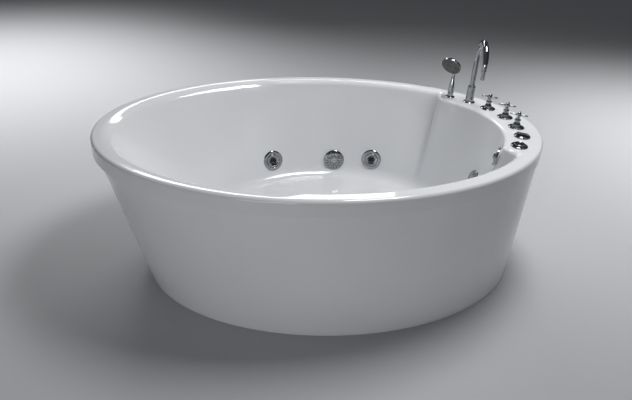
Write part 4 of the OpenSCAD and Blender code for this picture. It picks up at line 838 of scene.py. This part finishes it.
class BATHTUB_OT_hand_shower(bpy.types.Operator):
    """Builds the hand shower in its holder, with a domed head and rows of nozzles"""
    bl_idname = "bathtub.hand_shower"
    bl_label = "Hand shower"

    def execute(self, context):
        sizes = context.scene.bathtub_fittings
        deck = at_deck("shower_flange")
        flange = lathe("shower_flange_fine", [(12.6, 0), (21, 0), (21, 1.6, 0.8), (19.3, 3.4, 1.1),
            (17.5, 4, 1), (12.6, 4)], deck)
        chromed(flange, "tub", "shower_flange")
        holder = lathe("shower_holder_fine", [(10.05, -58), (12, -58, 0), (12.5, -57, 0), (12.5, 3.9, 0),
            (13.5, 4, 0.3), (13.5, 7, 0.6), (12.9, 7.8, 0.6), (12.9, 18.5, 0.8), (13.5, 19.4, 0.5),
            (13.5, 22, 0.7), (10.05, 22)], deck)
        chromed(holder, "tub", "shower_holder")
        handle = lathe("shower_handle_fine", [(4, -40), (9.2, -40, 0), (10, -39, 0), (10, 22.2, 0),
            (12.6, 22.4, 0.5), (13.4, 25.5, 2), (13.4, 32, 6), (12.8, 46, 10), (11.2, 60, 10),
            (9.4, 74, 10), (8, 86, 6), (7.4, 100.5, 0.5), (4, 101)], deck, steps=6)
        chromed(handle, "hand_shower", "shower_handle")
        reach, facing = HEAD["reach"], HEAD["heading"]
        place = deck @ Matrix.Translation((reach * cos(facing), reach * sin(facing), HEAD["height"]))
        place = place @ Matrix.Rotation(facing, 4, "Z") @ Matrix.Rotation(pi / 2 + HEAD["tilt"], 4, "Y")
        r = HEAD["radius"]
        dome = [(r * cos(radians(p)), -7 - 11 * sin(radians(p))) for p in np.linspace(90, 0, 15)]
        dome[0] = (0, -18)
        head = turned("head_shell", dome + eased([(r, -7, 0), (r, -1.4, 0.8), (r - 1.2, -0.05, 0.7), (r - 3.2, -0.05, 0.6),
                                                  (r - 3.9, -2.1, 0.4), (0, -2.1)]), place, 128, 40)
        start = deck @ Vector((0, 0, 0.097))
        up = Vector((0, 0, 0.042))
        end = place @ Vector((0.017, 0, -0.0125))
        inward = (place.to_3x3() @ Vector((0.35, 0, 1))).normalized() * 0.034
        path, radii = [], []
        for t in np.linspace(0, 1, 29):
            a, b = start + up, end - inward
            path.append((1 - t) ** 3 * start + 3 * t * (1 - t) ** 2 * a + 3 * t * t * (1 - t) * b + t ** 3 * end)
            radii.append(0.007 + 0.0075 * float(smooth((t - 0.25) / 0.75)))
        neck = swept("head_neck", path, radii, 40)
        head = joined("shower_head_fine", [head, neck])
        chromed(head, "hand_shower", "shower_head")
        plate = lathe("nozzle_plate", [(0, -2), (39.8, -2, 0), (39.8, -0.9, 0.6), (38.6, -0.3, 0.8),
            (30, -0.15, 4), (0, 0.1)])
        for row in range(1, sizes.nozzle_rows + 1):
            nozzle = lathe("nozzle", [(0, -0.6), (1.5, -0.6, 0), (1.35, 0.7, 0.3), (0.7, 0.95, 0.2),
                (0.5, 0.5, 0.1), (0, 0.5)], segments=16, steps=2)
            plate = with_ring(plate, nozzle, 6 * row, 0.0105 * row, "spray_face", 0.0 if row % 2 else pi / 12)
        placed(plate, place)
        plate.name = "spray_plate_fine"
        finish_piece(plate, "hand_shower", "spray_face", "grey_plastic", "spray_plate")
        return {"FINISHED"}


class BATHTUB_OT_taps(bpy.types.Operator):
    """Builds the three tops of the valves: escutcheon, bonnet and cross handle"""
    bl_idname = "bathtub.taps"
    bl_label = "Taps"

    def execute(self, context):
        for tap in ("hot", "diverter", "cold"):
            deck = at_deck(tap + "_escutcheon")
            plate = lathe(tap + "_escutcheon_fine", [(12.1, 0), (31.5, 0), (31.5, 1, 0.5), (30.4, 2.6, 1.2),
                (26.5, 4.4, 3), (20, 5.2, 2), (17.2, 5.5, 0.4), (16.2, 6, 0.4), (12.1, 6)], deck)
            chromed(plate, "tub", tap + "_escutcheon")
            bonnet = lathe(tap + "_bonnet_fine", [(12.1, 6), (15, 6, 0), (15, 8.4, 0.9), (14.2, 9.6, 0.8),
                (14.4, 12, 2), (12.6, 17.5, 3), (10.2, 21.5, 2.5), (10, 27.4, 0.8), (12, 28.4, 0.5),
                (12, 32, 0.9), (11, 33, 0.6), (5.05, 33, 0), (5.05, 12, 0), (12.1, 12)], deck)
            chromed(bonnet, "tub", tap + "_bonnet")
            hub = lathe("hub", [(0, 14), (5, 14, 0), (5, 33.3, 0), (7, 33.4, 0.4), (7, 40.5, 1),
                (6.6, 42, 1), (9, 46.3, 1.2), (9.5, 48, 1), (9.5, 56, 1.2), (7.8, 58, 0.6),
                (7.4, 58.4, 0.4), (5.6, 61.4, 1.6), (3, 63, 1.4), (0, 63.5)], segments=64)
            arm = lathe("arm", [(0, 6), (4.3, 6, 0), (4.3, 10.5, 1), (3.2, 12.5, 1.6), (3.0, 20, 6),
                (3.3, 25, 1.5), (4.3, 27.6, 1.4), (4.4, 30.2, 1.5), (3.2, 32.9, 1.4), (1.6, 33.9, 0.8),
                (0, 34)], segments=32)
            arm.data.transform(Matrix.Translation((0, 0, 0.052)) @ Matrix.Rotation(pi / 2, 4, "Y"))
            handle = with_ring(hub, arm, 4, 0.0, "bright_chrome", HANDLE_HEADING)
            placed(handle, deck)
            handle.name = tap + "_handle_fine"
            chromed(handle, tap + "_tap", tap + "_handle")
        return {"FINISHED"}


class BATHTUB_OT_controls(bpy.types.Operator):
    """Builds the air control and the pump button with their rings"""
    bl_idname = "bathtub.controls"
    bl_label = "Deck controls"

    def execute(self, context):
        depth = CONTROL_DEPTH
        for node in ("air_control_ring", "pump_button_ring"):
            ring = lathe(node + "_fine", [(6.05, -depth), (12.4, -depth, 0), (13, 1 - depth, 0), (13, 0, 0),
                (31, 0, 0.2), (31, 2.6, 1.4), (29.6, 4.9, 1.6), (27.6, 6, 0.9), (25.7, 6, 0.6),
                (25, 5.2, 0.5), (25, 3, 0), (6.05, 3)], at_deck(node))
            chromed(ring, "tub", node)
        deck = at_deck("air_control_ring")
        knob = lathe("knob", [(0, 5 - depth), (6, 5 - depth, 0), (6, 3.3, 0), (24.7, 3.3, 0),
            (24.7, 6.4, 0.8), (23.6, 7.3, 0.8), (21, 7.5, 0.8), (19.8, 6.7, 0.6), (8, 6.7, 0.5), (0, 6.7)])
        bar = rounded_block("bar", (0.043, 0.009, 0.0085), 0.0018, (0, 0, 0.01075))
        placed(bar, Matrix.Rotation(HANDLE_HEADING, 4, "Z"))
        knob = placed(joined("air_control_knob_fine", [knob, bar]), deck)
        knob.data.set_sharp_from_angle(angle=radians(45))
        chromed(knob, "air_knob", "air_control_knob")
        button = lathe("pump_button_fine", [(0, 3 - depth), (6, 3 - depth, 0), (6, 6.3, 0), (20, 6.3, 0),
            (20, 10.8, 0.9), (18.9, 11.9, 0.8), (16.4, 11.9, 0.6), (15.2, 11, 0.6), (8, 10.6, 3),
            (0, 10.5)], at_deck("pump_button_ring"))
        chromed(button, "button", "pump_button")
        return {"FINISHED"}


class BATHTUB_OT_jets(bpy.types.Operator):
    """Builds the five jets: flange, turning ring with its grips, and eyeball"""
    bl_idname = "bathtub.jets"
    bl_label = "Jets"

    def execute(self, context):
        sizes = context.scene.bathtub_fittings
        flanges = []
        for name in JET_NAMES:
            place = jet_place(name)
            flanges.append(lathe("flange", [(22, -36), (27, -36, 0), (27, 0.2, 0), (48, 0.2, 0.2),
                (48, 1.7, 0.9), (45.4, 4.8, 1.8), (41, 6.1, 1.6), (35, 6.2, 1), (33.4, 5.0, 0.8),
                (31.4, 5.0, 0.5), (30.3, 4.2, 0.4), (30.3, 3.2, 0), (22, 3.2)], place))
            ring = lathe("ring", [(21.95, -14.5), (21.95, 3.5, 0), (30, 3.5, 0.3), (30, 6.2, 0.8),
                (28.6, 8.2, 1.2), (25, 8.5, 1), (23.4, 7.9, 0.8), (21.4, 6.6, 1), (18.2, 5.9, 0.6),
                (16.6, 5.2, 0.3)] + [(17.05 * cos(radians(p)), -2 + 17.05 * sin(radians(p)),
                0) for p in (22, 14, 6, -2, -10)] + [(13, -8, 0), (13, -14.5)])
            grip = rounded_block("grip", (0.0036, 0.0021, 0.0022), 0.0007, (0, 0, 0.0076))
            grip.data.transform(Matrix.Translation((-0.0023, 0, 0.0001)) @ Matrix.Rotation(radians(28), 4, "Y"))
            ring = with_ring(ring, grip, sizes.jet_grips, 0.0278, "bright_chrome")
            placed(ring, place)
            ring.name = "jet_ring_" + name + "_fine"
            chromed(ring, "ring_" + name, "jet_ring_" + name)
            ball = [(17 * cos(radians(p)), -2 + 17 * sin(radians(p)), 0) for p in np.linspace(-44, 44, 23)]
            eyeball = lathe("jet_eyeball_" + name + "_fine", [(6, -13.8)] + ball + [(11.2, 10, 0.6),
                (9.4, 9.7, 0.5), (7.4, 7.2, 1), (6, 6.4)], place, 72, 50)
            finish_piece(eyeball, "eyeball_" + name, "insert_plastic", "grey_plastic", "jet_eyeball_" + name)
        chromed(joined("jet_fittings_fine", flanges), "tub", "jet_fittings")
        return {"FINISHED"}


class BATHTUB_OT_drain(bpy.types.Operator):
    """Builds the suction grille, the overflow knob, the waste flange and its plug"""
    bl_idname = "bathtub.drain"
    bl_label = "Suction and drain"

    def execute(self, context):
        tub, sizes = context.scene.bathtub_sizes, context.scene.bathtub_fittings
        wall = axes_at(*wall_normal_at(tub, *SUCTION))
        slots, half, land = sizes.suction_slots, 1.7, 6
        radii = np.concatenate([np.linspace(3, 13, 4), np.linspace(14, 42, 15),
                                [42.8, 44, 45.5, 47, 48.2, 48.8, 49, 49]])
        vertices, faces = [], []
        for i, r in enumerate(radii):
            p = np.arccos(min(max((r - 12) / 37.0, 0), 1))
            z = 4.2 + (2 + 10 * sin(p) if i < len(radii) - 1 else 0.2)
            width = asin(half / max(r, 14))
            for s in range(slots):
                middle = 2 * pi * s / slots
                span = 2 * pi / slots - 2 * width
                for k in range(land + 1):
                    a = middle + width + span * k / land
                    vertices.append((r * cos(a) / 1000, r * sin(a) / 1000, z / 1000))
        columns = slots * (land + 1)
        for i in range(len(radii) - 1):
            for j in range(columns):
                if j % (land + 1) == land and 14 <= radii[i] and radii[i + 1] <= 42:
                    continue
                k = (j + 1) % columns
                faces.append((i * columns + j, (i + 1) * columns + j, (i + 1) * columns + k, i * columns + k))
        vertices.append((0, 0, 0.0162))
        faces += [(j, (j + 1) % columns, len(vertices) - 1) for j in range(columns)]
        cover = new_piece("suction_cover_fine", vertices, faces)
        thickened(cover, 0.0021)
        applied(cover)
        cover.data.set_sharp_from_angle(angle=radians(38))
        screw = lathe("screw", [(0, 15.6), (4.6, 15.6, 0), (4.6, 16.7, 0.5), (3, 17.3, 1),
            (0, 17.4)], segments=32)
        cover = placed(joined("suction_cover_fine", [cover, screw]), wall)
        chromed(cover, "tub", "suction_cover")

        knob_joint = JOINTS["overflow_turn"]
        place = axes_at(knob_joint["pos_m"], knob_joint["axis"])
        knob = lathe("knob", [(0, -24), (5, -24, 0), (5, 4.2, 0), (35.5, 4.2, 0.3), (36.5, 5.2, 0.6),
            (36.5, 10, 1.2), (34.6, 12.1, 1.2), (30.5, 12.6, 1), (27.5, 11.6, 2), (19, 12.2, 2),
            (16, 14, 2.4), (13.5, 19, 3), (8, 21.3, 3), (0, 21.7)])
        grip = rounded_block("grip", (0.0042, 0.008, 0.0042), 0.001, (0, 0, 0.0112))
        knob = with_ring(knob, grip, 4, 0.0341, "bright_chrome", pi / 4)
        placed(knob, place)
        knob.name = "overflow_knob_fine"
        chromed(knob, "overflow", "overflow_knob")

        floor = axes_at(above("waste_flange", tub.floor_level), FLAT, 0.0)
        flange = lathe("flange", [(21, -30), (24, -30, 0), (24, 0, 0), (35, 0, 0.2), (34.6, 1.2, 0.5),
            (31.5, 2.8, 1.6), (27, 3, 0.8), (24.5, 2.4, 0.8), (21, 0.5)])
        hub = turned("hub", [(4.05, -26), (7, -26), (7, -12), (4.05, -12)], None, 32)
        spoke = rounded_block("spoke", (0.0155, 0.004, 0.006), 0.0008, (0.01425, 0, -0.023))
        flange = with_ring(joined("waste_flange_fine", [flange, hub]), spoke, 3, 0.0, "bright_chrome")
        chromed(placed(flange, floor), "tub", "waste_flange")
        plug = lathe("waste_plug_fine", [(0, -34), (4, -34, 0), (4, -11, 0), (20, -11, 0.5), (20, -7, 0.5),
            (4, -7, 0), (4, 3.3, 0), (27, 3.3, 0.3), (27, 4.4, 0.6), (25, 6, 1.2), (17, 7.9, 3),
            (8, 8.4, 3), (0, 8.3)], floor)
        chromed(plug, "plug", "waste_plug")
        return {"FINISHED"}


# Stage

CAMERA = {"azimuth": -0.1719, "elevation": 0.521, "distance": 2.2305, "lens": 31.78,
          "target": (-0.0276, -0.0597, 0.300), "roll": 0.0523}
FLOOR_COLOUR, FLOOR_RADIUS, FLOOR_SIDES = (0.54, 0.55, 0.568, 1), 14, 64
SKY_COLOUR, SKY_STRENGTH = (0.92, 0.95, 1.0, 1), (0.05, 0.12)
# Name, place, aim, width, depth, power in watts and spread in degrees
LAMPS = (
    ("overhead", (0.7, -0.1, 2.6), (0, 0, 0.3), 0.9, 0.7, 39, 180),
    ("front", (-1.1, -2.9, 0.4), (0, -0.5, 0.35), 1.2, 0.5, 14, 180),
    ("back", (-0.1, 2.9, 2.5), (0, -0.3, 0.5), 2.8, 0.5, 34, 180),
    ("left_pool", (-2.7, 3.2, 3.2), (-2.5, 2.6, 0), 3, 2.6, 46, 75),
    ("right_pool", (3.1, 1.2, 2.9), (3.1, 0.9, 0), 2.4, 2.2, 30, 75),
)


class BATHTUB_OT_stage(bpy.types.Operator):
    """Lays the floor, hangs the lamps and sets the camera"""
    bl_idname = "bathtub.stage"
    bl_label = "Stage"

    def execute(self, context):
        scene = context.scene
        az, el, roll = CAMERA["azimuth"], CAMERA["elevation"], CAMERA["roll"]
        back = Vector((sin(az) * cos(el), -cos(az) * cos(el), sin(el)))
        right = Vector((cos(az), sin(az), 0))
        up = back.cross(right)
        x = cos(roll) * right + sin(roll) * up
        y = -sin(roll) * right + cos(roll) * up
        lens = bpy.data.cameras.new("camera")
        lens.lens = CAMERA["lens"]
        lens.sensor_width = 36
        camera = bpy.data.objects.new("camera", lens)
        camera.matrix_world = Matrix((x, y, back)).transposed().to_4x4()
        camera.location = Vector(CAMERA["target"]) + back * CAMERA["distance"]
        scene.collection.objects.link(camera)
        scene.camera = camera

        turns = [2 * pi * k / FLOOR_SIDES for k in range(FLOOR_SIDES)]
        floor = new_piece("floor", [(FLOOR_RADIUS * cos(a), FLOOR_RADIUS * sin(a), 0) for a in turns],
                          [tuple(range(FLOOR_SIDES))], flat=True)
        paint = bpy.data.materials.new("floor_paint")
        paint.use_nodes = True
        shader = paint.node_tree.nodes["Principled BSDF"]
        shader.inputs["Base Color"].default_value = FLOOR_COLOUR
        shader.inputs["Roughness"].default_value = 0.6
        floor.data.materials.append(paint)

        world = bpy.data.worlds.new("studio")
        world.use_nodes = True
        nodes, links = world.node_tree.nodes, world.node_tree.links
        place = nodes.new("ShaderNodeTexCoord")
        split = nodes.new("ShaderNodeSeparateXYZ")
        links.new(place.outputs["Generated"], split.inputs[0])
        ramp = nodes.new("ShaderNodeMapRange")
        ramp.inputs["From Min"].default_value = 0.9
        ramp.inputs["From Max"].default_value = -0.9
        ramp.inputs["To Min"].default_value, ramp.inputs["To Max"].default_value = SKY_STRENGTH
        links.new(split.outputs["X"], ramp.inputs["Value"])
        links.new(ramp.outputs["Result"], nodes["Background"].inputs["Strength"])
        nodes["Background"].inputs["Color"].default_value = SKY_COLOUR
        scene.world = world
        for name, place, aim, width, depth, power, spread in LAMPS:
            light = bpy.data.lights.new(name, "AREA")
            light.shape = "RECTANGLE"
            light.size, light.size_y, light.energy, light.spread = width, depth, power, radians(spread)
            lamp = bpy.data.objects.new(name, light)
            lamp.location = place
            lamp.rotation_euler = (Vector(place) - Vector(aim)).to_track_quat("Z", "Y").to_euler()
            scene.collection.objects.link(lamp)
        scene.view_settings.view_transform = "Standard"
        return {"FINISHED"}


class BATHTUB_PT_panel(bpy.types.Panel):
    """Sizes, finishes and the steps that build the bathtub"""
    bl_idname = "BATHTUB_PT_panel"
    bl_label = "Jetted bathtub"
    bl_space_type = "VIEW_3D"
    bl_region_type = "UI"
    bl_category = "Bathtub"

    def draw(self, context):
        scene = context.scene
        for group in (scene.bathtub_sizes, scene.bathtub_finish, scene.bathtub_fittings):
            box = self.layout.box()
            for name in group.__annotations__:
                box.prop(group, name)
        column = self.layout.column()
        for step in STEPS:
            column.operator(step.bl_idname)


STEPS = (BATHTUB_OT_finishes, BATHTUB_OT_shell, BATHTUB_OT_skirt, BATHTUB_OT_spout, BATHTUB_OT_hand_shower,
         BATHTUB_OT_taps, BATHTUB_OT_controls, BATHTUB_OT_jets, BATHTUB_OT_drain, BATHTUB_OT_stage)
CLASSES = (TubSettings, FinishSettings, FittingSettings, *STEPS, BATHTUB_PT_panel)


def register():
    for kind in CLASSES:
        bpy.utils.register_class(kind)
    bpy.types.Scene.bathtub_sizes = bpy.props.PointerProperty(type=TubSettings)
    bpy.types.Scene.bathtub_finish = bpy.props.PointerProperty(type=FinishSettings)
    bpy.types.Scene.bathtub_fittings = bpy.props.PointerProperty(type=FittingSettings)


def unregister():
    del bpy.types.Scene.bathtub_fittings
    del bpy.types.Scene.bathtub_finish
    del bpy.types.Scene.bathtub_sizes
    for kind in reversed(CLASSES):
        bpy.utils.unregister_class(kind)


def main():
    register()
    for step in STEPS:
        area, name = step.bl_idname.split(".")
        getattr(getattr(bpy.ops, area), name)()


if __name__ == "__main__":
    main()
